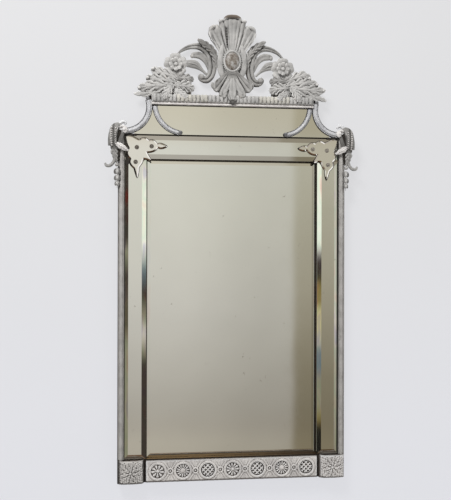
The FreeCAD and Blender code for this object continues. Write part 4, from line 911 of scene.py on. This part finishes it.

# %% Corner blocks
# The left block's finish is the darker copy, as painted shade; the right one is whitened.
BLOCK_FINISH = {-1: SHADED_PALE, 1: WHITENED}
SHADED_FROM = {-1: 0.72, 1: 0.86}  # where the painted shade on a block's outer edge starts, as a share of its half width
for label, side in SIDES:
    low, high = drawn_box(f"base_block_{label}")
    middle = (low + high) / 2
    dust, darker_edges = dust_and_darker_edges(low, high)

    def block_height(across, up):
        """How far a block's front stands out: two rings of petals on a tooled, rounded ground."""
        near, over = across - middle[0], up - middle[1] + 3
        away, bearing = np.hypot(near, over * 1.06), np.arctan2(over, near)
        leaves = flower_relief(away, bearing, petals=13, inner=16, outer=46, height=3.2, heart=0.1, sharp=0.6)
        petals = flower_relief(away, bearing + 0.2, petals=7, inner=5, outer=25, height=3.8, heart=6.0, sharp=0.7)
        between = 2.7 * (0.5 - 0.5 * np.cos(bearing * 13)) * np.clip((away - 27) / 8, 0, 1)
        tooled = 0.7 * np.sin(0.42 * near + 0.30 * over) * np.sin(0.50 * over - 0.23 * near)
        swirl = np.sin(0.66 * near - 0.36 * over + 1.7 * np.sin(0.15 * over))
        tooled = tooled + 1.1 * swirl * np.sin(0.60 * over + 0.33 * near + 1.3 * np.sin(0.13 * near))
        fall = edge_fall(across, up, low[0], high[0], low[1], high[1], 5.0)
        bulge = 11.0 * np.abs(near / (high[0] - middle[0])) ** 5
        carved = np.maximum.reduce([leaves, petals, between]) + tooled
        return high[2] - 2.0 + carved * fall - 4.0 * (1 - fall) - bulge

    def block_edge_shade(across, up, out):
        """Painted shade down both upright edges, where they fall away, wider on the outer one."""
        outward = side * (across - middle[0]) / (high[0] - middle[0])
        edges = np.maximum(rising(outward, SHADED_FROM[side], 0.12), rising(-outward, 0.86, 0.1))
        return np.maximum(edges * 0.94, darker_edges(across, up, out))

    piece_of(f"corner_block_carving_{label}", [relief_skin(low[0], high[0], low[1], high[1], low[2], block_height)],
             [f"base_block_{label}", f"block_rosette_{label}"], BLOCK_FINISH[side], rounds=5, wide=30, bare=dust,
             dirt=block_edge_shade)

# %% [markdown]
# ## Cornice
# Over the pediment runs a plain pale fillet and a band of gadroons, close-set upright lobes like fingers.
# An array modifier on one lobe would do, but the lobes of the real one are cut by hand, so each gets its own
# small lean and fullness from a seeded generator before they are joined.

# %% Fillet and gadroons
FINGER_PITCH, FINGER_GROUND, CREAM_BAND = 13.4, 49.0, (85, 190)
chance = np.random.default_rng(7)
low, high = drawn_box("cornice_fillet")
half, steps = (high[1] - low[1]) / 2, 60
along = np.column_stack([np.linspace(low[0], high[0], steps), np.full(steps, low[1] + half), np.zeros(steps)])
profile = np.array([(-half, 40.0), (-half, 44.5), (-half * 0.5, 46.0), (-half * 0.3, 48.0), (half * 0.35, 48.0),
                    (half * 0.5, 46.5), (half * 0.5, 40.0)])
piece_of("cornice_strip", [swept(along, profile, low[2])], ["cornice_fillet"], WHITENED, rounds=0)

low, high = drawn_box("cornice_gadroons")
rail_back, rail_front = drawn_box("cornice_rail")
count = int((high[0] - low[0]) / FINGER_PITCH)
board = slab([(rail_back[0], low[1]), (rail_front[0], low[1]), (rail_front[0], high[1]), (rail_back[0], high[1])],
             rail_back[2], FINGER_GROUND)
grey, cream = [board], []
for index in range(count):
    x = low[0] + (index + 0.5) * (high[0] - low[0]) / count
    lean, full = chance.normal(0, 0.7), chance.uniform(0.9, 1.1)
    lobe = pipe([(x - lean, low[1] + 0.5, 49.5, 3.8 * full), (x, low[1] + 5, 50.5, 5.4 * full),
                 (x + lean, low[1] + 15, 51.5, 6.2 * full), (x + lean, low[1] + 21.5, 51.0, 5.6 * full),
                 (x + lean, high[1] - 0.4, 49.5, 3.0 * full)], crown=0.7, thick=3.0)
    (cream if CREAM_BAND[0] < abs(x) < CREAM_BAND[1] else grey).append(lobe)
piece_of("cornice_fingers", grey, ["cornice_gadroons", "cornice_rail"], SILVER, voxel=0.9, rounds=6)
piece_of("cornice_cream_fingers", cream, ["cornice_gadroons"], CREAMED, voxel=0.9, rounds=6)

# %% [markdown]
# ## Crest
# The crest is openwork: a palmette cartouche round an oval stone, an acanthus drop below it, a C-scroll with
# a husk leaf on each side, and sprays of acanthus with a flower where scroll and spray meet. All the strokes
# below are drawn for the right half, up from the crest's foot, and mirrored, with the small differences that
# the hand-carved halves of the real one have.

# %% Palmette cartouche
CREST_SHIFT = -4.0  # the crest's middle stands a little left of the frame's


def crest(strokes):
    """Strokes drawn up from the crest's foot, lifted to their place."""
    return [(stroke[0], stroke[1] + CREST_FOOT, *stroke[2:]) for stroke in strokes]


def both_ways(skins):
    return skins + [mirrored(skin, -1) for skin in skins]


half_board = [(0, 66), (26, 66), (38, 84), (43, 110), (42, 150), (44, 172), (40, 200), (28, 262), (0, 268)]
board = [(x, z + CREST_FOOT) for x, z in half_board] + [(-x, z + CREST_FOOT) for x, z in half_board[-2:0:-1]]
SHELL_EDGE = ((0, 181), (5.2, 179), (8.5, 180), (10.4, 173), (11.2, 165), (12.4, 170), (15.0, 171), (16.6, 164),
              (17.4, 152), (19.0, 160), (22, 160), (25, 157), (27, 163), (30.5, 160), (32.6, 152), (35, 146),
              (36.5, 136), (37.6, 124), (37.4, 108), (37.5, 88))
SHELL_CREASES = ((0, 1.2, 2.4), (5.6, 2.0, 1.6), (10.9, 4.6, 1.5), (17.4, 7.0, 1.7), (25, 3.2, 2.6), (32, 2.4, 1.6))
palmette = [slab(board, 24, 33), fan((0, CREST_FOOT + 95), SHELL_EDGE, SHELL_CREASES, out=35, rise=9, curl=6.0)]
palmette += both_ways([
    pipe(crest([(27, 60, 32, 6), (38, 86, 34, 10), (41, 118, 35, 10), (39, 150, 36, 9), (33, 176, 37, 5)]),
         crown=0.45),
    rope(crest([(58, 238, 41, 4), (65, 236, 45, 6.5), (73, 230, 46, 6.5), (78, 221, 43, 4)]), 18),
    rope(crest([(33, 258, 43, 4), (40, 257, 47, 6), (47, 252, 46, 5)]), 14),
])
palmette.append(rope(crest([(-29, 258, 45, 4), (-24, 266, 48, 5.5), (-14, 270.5, 50, 6), (0, 271.5, 51, 6),
                            (14, 270.5, 50, 6), (24, 266, 48, 5.5), (29, 258, 45, 4)])))
for row in range(8):
    palmette.append(bead((-17.5 - 0.5 * row, CREST_FOOT + 172 + 9 * row, 40 + 0.6 * row), 2.2, 3.0, 3.0))


def lip_wear(across, up, out):
    """Bare wood along the rolled lip at the top."""
    return rising(up, CREST_FOOT + 262, 5) * rising(out, 44, 5) * 0.85


def groove_shade_and_film(across, up, out):
    """Painted shade in the beaded groove, darker on the curls, and a thin film of old wax all over."""
    up, aside = up - CREST_FOOT, np.abs(across - CREST_SHIFT)
    off = np.abs(across - CREST_SHIFT + 17.5 + 0.055 * (up - 172))
    groove = np.clip(1.4 - off / 3.5, 0, 1) * rising(up, 165, 8) * falling(up, 242, 8) * 0.8
    lower = np.clip(1.5 - np.hypot(aside - 69, up - 229) / 9, 0, 1)
    upper = np.clip(1.5 - np.hypot(aside - 42, up - 250) / 8, 0, 1)
    return np.maximum.reduce([groove, np.maximum(lower, upper) * 0.34, np.full_like(up, 0.06)])


def drawn_crest(name, skins, stands_for, finish=SILVER, side=1, **settings):
    """A piece of the crest, drawn about its own middle."""
    piece_of(name, [moved(mirrored(skin, side), CREST_SHIFT) for skin in skins], stands_for, finish, **settings)


drawn_crest("crest_palmette", palmette, ["crest_cartouche"], voxel=1.1, bare=lip_wear, dirt=groove_shade_and_film)

# %% Oval stone and its rim
oval_low, oval_high = drawn_box("crest_medallion")
oval = (oval_low + oval_high) / 2
OVAL_HALF = (oval_high - oval_low)[:2] / 2


def veined_stone():
    finish, tree, shader, place = new_finish("veined_stone")
    veins = noise(tree, place, 60.0, 6.0, 0.7)
    tone = ramp(tree, veins, (0.36, (0.08, 0.065, 0.055)), (0.46, (0.17, 0.145, 0.12)), (0.55, (0.27, 0.255, 0.24)),
                (0.66, (0.46, 0.45, 0.43)))
    feed(tree, shader.inputs["Base Color"], tone)
    feed(tree, shader.inputs["Roughness"], spread(tree, veins, 0.42, 0.2))
    shader.inputs["Coat Weight"].default_value = 0.5
    raise_grain(tree, shader, veins, 0.4, 0.001)
    return finish


def round_oval(gap, angle):
    """A place that far outside the oval's edge."""
    return oval[0] + (OVAL_HALF[0] + gap) * np.cos(angle), oval[1] + (OVAL_HALF[1] + gap) * np.sin(angle)


stone = bead((oval[0], oval[1], oval_low[2] + 1), OVAL_HALF[0], OVAL_HALF[1], 9.5)
drawn_crest("oval_stone", [stone], ["crest_medallion"], veined_stone(), slot="cabochon", rounds=2)
rim = [rope([(*round_oval(2.5, angle), 42.5, 3.6) for angle in np.linspace(0, 2 * np.pi, 41)], 90)]
rim += [bead((*round_oval(7, angle), 40), 2.7, 2.7, 3.6) for angle in np.linspace(0, 2 * np.pi, 32, endpoint=False)]
drawn_crest("oval_rim", rim, ["crest_medallion_rim"], voxel=0.8, rounds=8)

# %% Acanthus drop
DROP_EDGE = ((0, 131), (4, 125), (7, 117), (10, 104), (14, 114), (20, 115), (25, 110), (28, 100), (33, 107),
             (40, 104), (46, 93), (49, 80))
DROP_CREASES = ((0, 2.4, 2.2), (10, 9.0, 2.2), (19, 3.0, 2.2), (28, 9.0, 2.4), (37, 3.0, 2.2))
DROP_LEAF = {"crown": 0.4, "thick": 5, "channel": 0.2}


def ball_dirt(across, up, out):
    """Painted shade on the ball at the foot, under the drop, and darker round the neck."""
    up = up - CREST_FOOT
    return np.maximum(falling(up, -12, 8) * 0.8, rising(up, 62, 10) * rising(out, 30, 4) * 0.35)


def thin_film(across, up, out):
    """A film of old wax all over."""
    return np.full_like(up, 0.16)


drop = [bead((0, CREST_FOOT + 50, 36), 38, 40, 9), bead((0, CREST_FOOT + 78, 37), 30, 8, 8),
        fan((0, CREST_FOOT + 100), DROP_EDGE, DROP_CREASES, out=42, rise=15, curl=4.0, turned=-1),
        bead((0, CREST_FOOT - 26, 60), 7.5, 7.5, 6.5)]
drop += both_ways([rope(crest([(56, 22, 44, 4), (65, 27, 48, 6), (70, 36, 47, 5), (68, 45, 44, 3)]), 18)])
drawn_crest("acanthus_drop", drop, ["crest_drop"], SHADED_GREY, voxel=1.0, dirt=ball_dirt)
middle_leaves = [pipe(crest([(0, 60, 44, 7), (0, 30, 50, 12), (0, 4, 56, 12), (0, -16, 59, 5)]), **DROP_LEAF)]
middle_leaves += both_ways([pipe(crest([(9, 58, 43, 6), (20, 34, 48, 11), (31, 14, 52, 11), (41, 0, 53, 4)]),
                                 **DROP_LEAF)])
drawn_crest("drop_leaves", middle_leaves, ["crest_drop"], voxel=1.0, dirt=thin_film)

# %% C-scrolls with husk leaves
CURLS = {  # the band's middle line, out from the wall, and half width
    -1: [(193, 140, 18, 2), (174, 158, 19, 4.5), (148, 171, 20, 7.5), (118, 175, 20, 11), (93, 166, 20, 14),
         (76, 146, 20, 16), (69, 120, 20, 16), (68, 95, 20, 15), (74, 74, 20, 12.5), (87, 61, 20, 11),
         (102, 62, 20, 10), (109, 70, 20, 8), (103, 77, 20, 5)],
    1: [(184, 138, 18, 2), (164, 158, 19, 4.5), (138, 171, 20, 7.5), (110, 174, 20, 11), (86, 164, 20, 14),
        (70, 143, 20, 16), (64, 116, 20, 16), (64, 90, 20, 15), (70, 67, 20, 12.5), (84, 53, 20, 11),
        (99, 53, 20, 10), (106, 62, 20, 8), (100, 69, 20, 5)],
}


def scroll_darkening(across, up, out):
    """Darker on the husk leaf of the left scroll, and on the outer end of both."""
    up, across = up - CREST_FOOT, across - CREST_SHIFT
    husk = rising(up, 140, 10) * falling(across, -50, 5) * rising(across, -122, 5) * 0.45
    end = rising(np.abs(across), 140, 10) * rising(up, 120, 10) * 0.35
    return np.maximum(husk, end)


for label, side in SIDES:
    end = CURLS[side][-2]
    scroll = [scroll_band(crest(CURLS[side])), bead((end[0] - 5, end[1] - 2 + CREST_FOOT, 22), 10, 10, 8),
              leaf(crest([(53, 100, 26, 6), (56, 130, 29, 11), (69, 158, 31, 13), (92, 178, 31, 12),
                          (118, 196, 29, 4)]), lobes=6, notch=0.26, crown=0.3, flute=0.34, lean=0.9, rib=0.05),
              pipe(crest([(74, 92, 19, 7), (88, 123, 23, 10), (108, 140, 26, 11.5), (129, 142, 27, 10),
                          (140, 139, 27, 6)]), crown=0.42, thick=7, channel=0.18),
              bead((137, 138 + CREST_FOOT, 27), 7, 8, 6),
              leaf(crest([(84, 76, 18, 3.5), (103, 93, 21, 6), (126, 109, 25, 14), (150, 112, 27, 13),
                          (164, 107, 26, 5)]), lobes=2, notch=0.12, crown=0.35, flute=0.12, lean=0.4, rib=0.12)]
    drawn_crest(f"scroll_carving_{label}", scroll, [f"crest_scroll_{label}"], SHADED_GREY, side, voxel=1.1,
                dirt=scroll_darkening)
    # A dark rope behind the scroll's lower curl: painted shadow in the gap between scroll and cartouche.
    shadow = rope([(x - 9 * (1 - index / 5), z - 3 - 1.5 * index + CREST_FOOT, 15, 8 - index)
                   for index, (x, z, *_) in enumerate(CURLS[side][6:11])], 24)
    drawn_crest(f"scroll_ground_{label}", [shadow], [f"crest_scroll_{label}"], SHADE_BLACK, side, rounds=0)

# %% Flowers and acanthus sprays
FLOWER = {-1: (194, 106), 1: (178, 100)}
TIPS = {-1: ((276, 88), (294, 56), (322, 20), (336, 2)), 1: ((276, 70), (302, 48), (326, 28), (333, -8))}
PETAL = ((0.1, 0, 0.4), (0.4, 4, 0.8), (0.75, 7, 1.0))  # shares of the radius, lift, and shares of the width
BLADE = {"lobes": 4, "notch": 0.42, "crown": 0.24, "flute": 0.26, "lean": 0.9, "rib": 0.05}
FOOT_BOARD = ((140, 0), (296, 0), (300, 6), (264, 38), (232, 62), (196, 76), (152, 70), (140, 48))


def blossom(middle, radius, out, petals, turned, droop, wide):
    """One ring of broad, cupped petals about a middle."""
    ring = []
    for index in range(petals):
        angle = turned + index * 2 * np.pi / petals
        way = np.array([np.cos(angle), np.sin(angle)])
        points = [(*(middle + way * radius * share), out + lift, radius * wide * part)
                  for share, lift, part in (*PETAL, (1.0, droop, 0.6))]
        ring.append(pipe(points, crown=0.22, thick=5.0, tip=0.35, channel=0.26))
    return ring


def spray_shade(across, up, out):
    """Painted shade on the leaf that lies under the flower."""
    across, up = np.abs(across - CREST_SHIFT), up - CREST_FOOT
    return falling(across, 192, 8) * rising(up, 46, 6) * falling(out, 36, 5) * 0.55


for label, side in SIDES:
    middle = np.array([FLOWER[side][0], FLOWER[side][1] + CREST_FOOT])
    bloom = blossom(middle, radius=39, out=23, petals=5, turned=0.9, droop=3, wide=0.62)
    bloom += blossom(middle, radius=23, out=34, petals=4, turned=0.4, droop=5, wide=0.60)
    bloom += [bead((*middle, 37), 7, 7, 6)]
    drawn_crest(f"flower_carving_{label}", bloom, [f"crest_flower_{label}"], side=side, voxel=0.95, rounds=12)
    spray = [
        leaf(crest([(190, 58, 24, 14), (222, 70, 30, 21), (252, 79, 32, 18), (*TIPS[side][0], 34, 7)]), **BLADE),
        leaf(crest([(194, 44, 27, 14), (234, 50, 34, 22), (268, 54, 35, 19), (*TIPS[side][1], 37, 7)]), **BLADE),
        leaf(crest([(198, 30, 29, 14), (244, 30, 39, 23), (286, 27, 39, 20), (*TIPS[side][2], 40, 7)]), **BLADE),
        leaf(crest([(206, 16, 29, 11), (256, 8, 36, 15), (304, 2, 38, 11), (*TIPS[side][3], 36, 3)]), **BLADE),
        leaf(crest([(206, 38, 40, 9), (218, 16, 52, 16), (228, -3, 58, 14), (236, -18, 57, 5)]), **BLADE),
        leaf(crest([(196, 56, 24, 10), (174, 60, 29, 17), (152, 60, 30, 15), (133, 54, 29, 6)]), **BLADE),
        leaf(crest([(200, 34, 30, 12), (176, 31, 38, 21), (152, 28, 38, 19), (131, 21, 34, 7)]), **BLADE),
        leaf(crest([(204, 20, 32, 9), (186, 8, 46, 15), (169, -2, 54, 13), (155, -11, 56, 5)]), **BLADE),
    ]
    spray += [bead((x - 4, z + CREST_FOOT, out), 6, 5, 5) for (x, z), out in zip(TIPS[side][:3], (38, 41, 44))]
    ground = slab([(x, z + CREST_FOOT) for x, z in FOOT_BOARD], 13, 21)
    drawn_crest(f"spray_ground_{label}", [ground], [f"crest_spray_{label}"], SHADED_GREY, side, rounds=0)
    drawn_crest(f"spray_carving_{label}", spray, [f"crest_spray_{label}"], side=side, voxel=1.1, dirt=spray_shade)

# %% [markdown]
# ## Ears
# At the upper corners a carved ear hangs off each side: a drooping hood with two bead rows, a small volute, an
# inward leaf, a tendril that curls out, and three bellflowers down the moulding. They are drawn up from the
# foot of the frame and lifted with the body's top. Beads and leaf are whiter than the hood, and one mesh with
# a mask could show that, but as pieces of their own they keep their edges against it.

# %% Ear carvings and bellflowers
LIFT = BODY_TOP - 1184  # from the body's top as drawn here to the frame's
BELL_LINE = 395
BELLS = ((1058, 1.0), (1036, 0.92), (1017, 0.75))  # height and size of each bellflower
BEAD_DROP, BEAD_SINK = 7.4, 0.45  # from one bead of a row to the next, down and toward the wall


def hood_shade(across, up, out):
    """Painted shade on the inner half of the hood, in its channel and along its foot, and darker on its rim."""
    across, up = np.abs(across), up - LIFT
    under = falling(across, 404, 6) * rising(up, 1140, 8) * falling(up, 1196, 10)
    channel = np.clip(1.5 - np.abs(across - 407) / 4, 0, 1) * rising(up, 1140, 6) * rising(out, 48, 3)
    rim = rising(across, 419, 3) * rising(up, 1140, 6)
    seam = falling(up, 1150, 6) * rising(up, 1128, 6)
    return np.maximum.reduce([under * 0.6, channel * 0.7, rim * 0.5, seam * 0.6])


def bell_edge_shade(across, up, out):
    """Painted shade round the outer edges of the bellflowers."""
    return rising(np.abs(np.abs(across) - BELL_LINE), 4.0, 2.5) * 0.75


def bead_row(across, top, count, wide, high):
    """A row of beads down the hood, which sways a little."""
    return [bead((across + 1.5 * np.sin(row * 0.45), top - BEAD_DROP * row, 59 - BEAD_SINK * row), wide, high, 3.4)
            for row in range(count)]


for label, side in SIDES:
    ear = [
        pipe([(379, 1206, 47, 6), (394, 1211, 51, 11), (406, 1197, 53, 14), (409, 1168, 52, 14), (409, 1143, 49, 13)],
             crown=0.34, thick=10),
        rope([(393, 1204, 54, 2.2), (398, 1188, 58, 2.6), (399, 1164, 57, 2.6), (398, 1146, 55, 2.2)], 24),
        rope([(403, 1203, 59, 2.2), (405, 1184, 60.5, 2.4), (405, 1162, 59, 2.4), (404, 1145, 56, 2.2)], 24),
        rope([(421, 1186, 52, 2.6), (423, 1166, 52, 3), (423, 1143, 50, 3)], 20),
        pipe([(373, 1198, 48, 5), (378, 1182, 50, 6), (384, 1162, 51, 7), (388, 1144, 51, 7)], crown=0.6),
        leaf([(405, 1145, 48, 13), (405, 1122, 52, 12), (401, 1102, 52, 8), (397, 1086, 50, 3)],
             lobes=4, notch=0.34, crown=0.4, flute=0.3, lean=0.7),
        rope([(402, 1104, 49, 5.5), (408, 1087, 49, 5.5), (419, 1076, 49, 5.5), (431, 1076, 50, 4.8),
              (435.5, 1085, 50, 3)], 30),
        bead((396, 1079, 51), 7, 6, 6),
    ]
    eye = [
        rope([(388, 1207, 47, 4.5), (376, 1209, 51, 5), (365, 1200, 52, 5), (368, 1190, 53, 4.5),
              (376, 1192, 54, 4)], 30),
        bead((372, 1198, 54), 7, 7, 6.5),
        leaf([(399, 1151, 53, 6), (388, 1144, 58, 10), (373, 1135, 57, 9), (358, 1127, 52, 3)],
             lobes=3, notch=0.2, crown=0.4, flute=0.15, lean=0.6),
    ]
    rows = bead_row(413.5, 1203, 9, 3.1, 2.8) + bead_row(400.5, 1201, 8, 2.8, 2.7)
    # Dark slabs behind the hood and the leaf: painted shade in the slit by the eye and under the leaf.
    ground = [slab([(381, 1196), (398, 1204), (414, 1190), (416, 1144), (406, 1106), (398, 1090), (388, 1092),
                    (384, 1132)], 46.2, 47.4),
              slab([(394.5, 1204), (414, 1192), (416, 1144), (404, 1100), (394.5, 1090)], 22, 47)]
    bells = []
    for level, size in BELLS:
        bells.append(bead((BELL_LINE, level - 2, 50), 6.5 * size, 8 * size, 6.5))
        for lean in (-1, 1):
            bells.append(rope([(BELL_LINE, level + 10 * size, 48, 1.6),
                               (BELL_LINE + 7.5 * lean * size, level + 4, 49, 2.6 * size),
                               (BELL_LINE + 9 * lean * size, level - 5, 49, 2.8 * size),
                               (BELL_LINE + 5 * lean * size, level - 11 * size, 49, 1.6)], 18))
    bells.append(rope([(BELL_LINE, 1070, 48, 2.2), (BELL_LINE, 1030, 48, 2.0), (BELL_LINE, 1000, 47.5, 1.0)], 20))
    for name, skins, stands_for, finish, settings in (
            ("ear_ground", ground, "ear_scroll", SHADE_BLACK, {"rounds": 0}),
            ("ear_carving", ear, "ear_scroll", SHADED_GREY, {"voxel": 0.95, "dirt": hood_shade}),
            ("ear_beads", rows, "ear_scroll", WHITENED, {"rounds": 2}),
            ("ear_leaf", eye, "ear_scroll", WHITENED, {"voxel": 0.95}),
            ("bellflowers", bells, "bellflower_drop", SILVER, {"voxel": 0.8, "rounds": 8, "dirt": bell_edge_shade})):
        piece_of(f"{name}_{label}", [moved(skin, up=LIFT) for skin in skins], [f"{stands_for}_{label}"], finish, side,
                 **settings)

# %% [markdown]
# ## Corner plates
# A small lobed looking glass lies over each upper corner of the border, with cut edges that flash white or
# go dark as they lean. Its outline is drawn once, from the corner inward and down; the face is inset by the
# width of the cut, less at its sharp tips, and a thin blackened backing shows round it as a dark line, which
# also paints the shadow along its edge. On the left the backing also paints shade over the notch beside the
# moulding.

# %% Corner plates
CORNER_OUTLINE = [(4.6, 4.8), (25, 5.2), (34, 9), (43, 13.5), (50.7, 17), (55.7, 14), (62, 11.3), (68, 10.5),
                  (74.3, 12), (79.4, 15.5), (84, 19), (89, 17.4), (95.6, 17), (102.3, 20), (108, 25), (111.7, 30),
                  (119, 28.3), (127, 29), (136, 32.6), (145.5, 38), (137, 44), (128, 46.5), (120, 46.5), (114, 44),
                  (110, 49), (103.4, 54.7), (95.6, 58), (87.7, 60), (80.3, 60.6), (76, 58), (79.4, 65.6),
                  (84.4, 74.7), (90.6, 85.6), (83, 86.5), (75.4, 84), (68, 83), (63.7, 85), (62, 93), (58, 101),
                  (52.5, 108), (49.8, 114), (49.8, 122), (48, 135), (44, 147.5), (39.5, 136), (35.5, 123.6),
                  (33, 115), (28, 110.6), (21.6, 103), (18, 95), (18.4, 88), (20.5, 82.6), (14.4, 77), (10, 68),
                  (9, 59), (11.3, 52), (15, 47), (10, 37), (5.5, 22)]
NOTCH = [(4.6, 66), (14, 66), (23, 82), (22, 94), (14, 103), (4.6, 105)]
CUT, BACKING, CREASE = 4.2, 1.9, 3
TRIES, NARROWER = 14, 0.85  # how often, and by how much, the cut is narrowed where it doesn't fit


def closed_line(outline, count):
    """Points on a smooth closed curve through the outline's corners."""
    marks = np.roll(np.array(outline, float), 1, axis=0)
    return through(marks, np.linspace(0, len(marks), count, endpoint=False))


def inset(outline, shift):
    """The outline moved in along its normals, or out where shift is negative."""
    ahead = unit(np.roll(outline, -1, axis=0) - np.roll(outline, 1, axis=0))
    return outline + shift * np.column_stack([-ahead[:, 1], ahead[:, 0]])


def cut_width(outline, widest):
    """How wide the cut can be at each point of an outline before it nears the far side or folds back."""
    width = np.full((len(outline), 1), widest)
    for _ in range(TRIES):
        face = inset(outline, width)
        gap = np.linalg.norm(face[:, None] - outline[None], axis=2).min(1, keepdims=True)
        along, drawn_along = (np.roll(line, -1, axis=0) - line for line in (face, outline))
        crossed = (along * drawn_along).sum(1, keepdims=True) < 0.05
        width = np.where((gap < 0.96 * width) | crossed | np.roll(crossed, 1, axis=0), NARROWER * width, width)
    return np.minimum(width, 0.3 + 0.5 * (np.roll(width, 1, axis=0) + np.roll(width, -1, axis=0)))


def on_corner(outline, level):
    """A corner outline as a ring on the right-hand corner, at one level out from the wall."""
    return np.column_stack([CORNER_EDGE - outline[:, 0], BODY_TOP - outline[:, 1], np.full(len(outline), level)])


def flat_face(ring):
    """A level face inside a ring, however its outline turns."""
    flat = [Vector(point[:2]) for point in ring]
    corners, _, triangles, origins, *_ = geometry.delaunay_2d_cdt(flat, [], [list(range(len(flat)))], 1, 1e-4)
    points = [ring[origin[0]] if origin else (*corner, ring[0][2]) for corner, origin in zip(corners, origins)]
    return np.array(points), [tuple(triangle) for triangle in triangles]


def rim_about(outline, shift, low, high):
    """A thin closed band along an outline, from just inside it to that far outside."""
    rings = np.stack([on_corner(inset(outline, move), level) for move, level in
                      ((1.0, low), (-shift, low), (-shift, high), (1.0, high))], 1)
    points, faces = skin_of_rings(np.concatenate([rings, rings[:1]]))
    return points, faces[:-2]


CORNER_EDGE = drawn_box("border_plate_right")[1][0]
low, high = drawn_box("corner_plate_right")
drawn = closed_line(CORNER_OUTLINE, 2 * len(CORNER_OUTLINE))
face = inset(drawn, cut_width(drawn, CUT))
rings = [on_corner(drawn, low[2] + 0.9), on_corner(drawn, low[2] + 1.6), on_corner(face, high[2])]
edges, edge_faces = skin_of_rings(np.stack(rings))
glass = [(edges, edge_faces[:-2]), flat_face(rings[0]), flat_face(rings[-1])]
# A dark rim: blackened backing and painted shadow along the plate's edge; on the left, a dark sheet of painted shade
# over the notch.
dark_rim = rim_about(drawn, BACKING, low[2] + 0.1, low[2] + 1.0)
shaded_notch = slab([(CORNER_EDGE - aside, BODY_TOP - down) for aside, down in NOTCH], low[2] + 0.1, low[2] + 0.5)
for label, side in SIDES:
    backing = [dark_rim, shaded_notch] if side < 0 else [dark_rim]
    for name, skins, finish in (("corner_glass", glass, CLEAR_GLASS), ("corner_backing", backing, SHADE_BLACK)):
        piece_of(f"{name}_{label}", skins, [f"corner_plate_{label}"], finish, side, "mirror_glass", rounds=0,
                 crease=CREASE)

# %% [markdown]
# ## Rosette screws
# Each corner plate is held by three smoked glass rosettes on screws. A flower of eight glass petals round a
# domed heart is turned about each screw's middle, read from the CAD node itself. An instance of one rosette
# at each place would do as well, but here each side's three are one piece, as the CAD node is.

# %% Glass rosettes
def smoked_glass(name, dark, light):
    finish, tree, shader, place = new_finish(name)
    cloud = noise(tree, place, 120.0, 3.0)
    tone = ramp(tree, cloud, (0.3, dark), (0.7, light))
    feed(tree, shader.inputs["Base Color"], tone)
    feed(tree, shader.inputs["Roughness"], spread(tree, cloud, 0.08, 0.22))
    shader.inputs["Coat Weight"].default_value = 0.6
    return finish


ROSETTE_GLASS = {-1: smoked_glass("smoked_glass", (0.08, 0.070, 0.058), (0.17, 0.150, 0.128)),
                 1: smoked_glass("pale_smoked_glass", (0.17, 0.152, 0.128), (0.30, 0.272, 0.232))}
HEAD_DEPTH, HEADS_APART = 0.0004, 0.012  # metres, in the CAD node
PETALS, PETAL_RING, PETAL_OUT, SHANK_RADIUS, SHANK_TOP = 8, 5.4, 42.0, 2.4, 41.0


def rosette(x, z, back):
    """A plate, a heart and a ring of petals on a plain shank."""
    skins = [bead((x, z, 41.5), 7.6, 7.6, 2.0), bead((x, z, PETAL_OUT), 3.6, 3.6, 3.8)]
    for angle in np.arange(PETALS) * 2 * np.pi / PETALS:
        place = (x + PETAL_RING * math.cos(angle), z + PETAL_RING * math.sin(angle), PETAL_OUT)
        skins.append(bead(place, 2.3, 2.3, 2.4))
    ring = np.linspace(0, 2 * np.pi, 16, endpoint=False)
    around = np.column_stack([x + SHANK_RADIUS * np.cos(ring), z + SHANK_RADIUS * np.sin(ring)])
    return skins + [slab(around, back, SHANK_TOP)]


for label, side in SIDES:
    node = cad[f"corner_rosettes_{label}"]
    points = np.array([v.co for v in node.data.vertices])
    heads = points[points[:, 1] < points[:, 1].min() + HEAD_DEPTH]
    middles = []
    for x, _, z in heads:
        if all(math.hypot(x - mx, z - mz) > HEADS_APART for mx, mz in middles):
            middles.append((x, z))
    back = drawn_box(f"corner_rosettes_{label}")[0][2]
    skins = [skin for x, z in middles for skin in rosette(x / MM, (z - FOOT) / MM, back)]
    piece_of(f"glass_rosettes_{label}", skins, [f"corner_rosettes_{label}"], ROSETTE_GLASS[side],
             slot="rosette_glass", rounds=2)
    print(f"rosettes {label}: {len(middles)}")
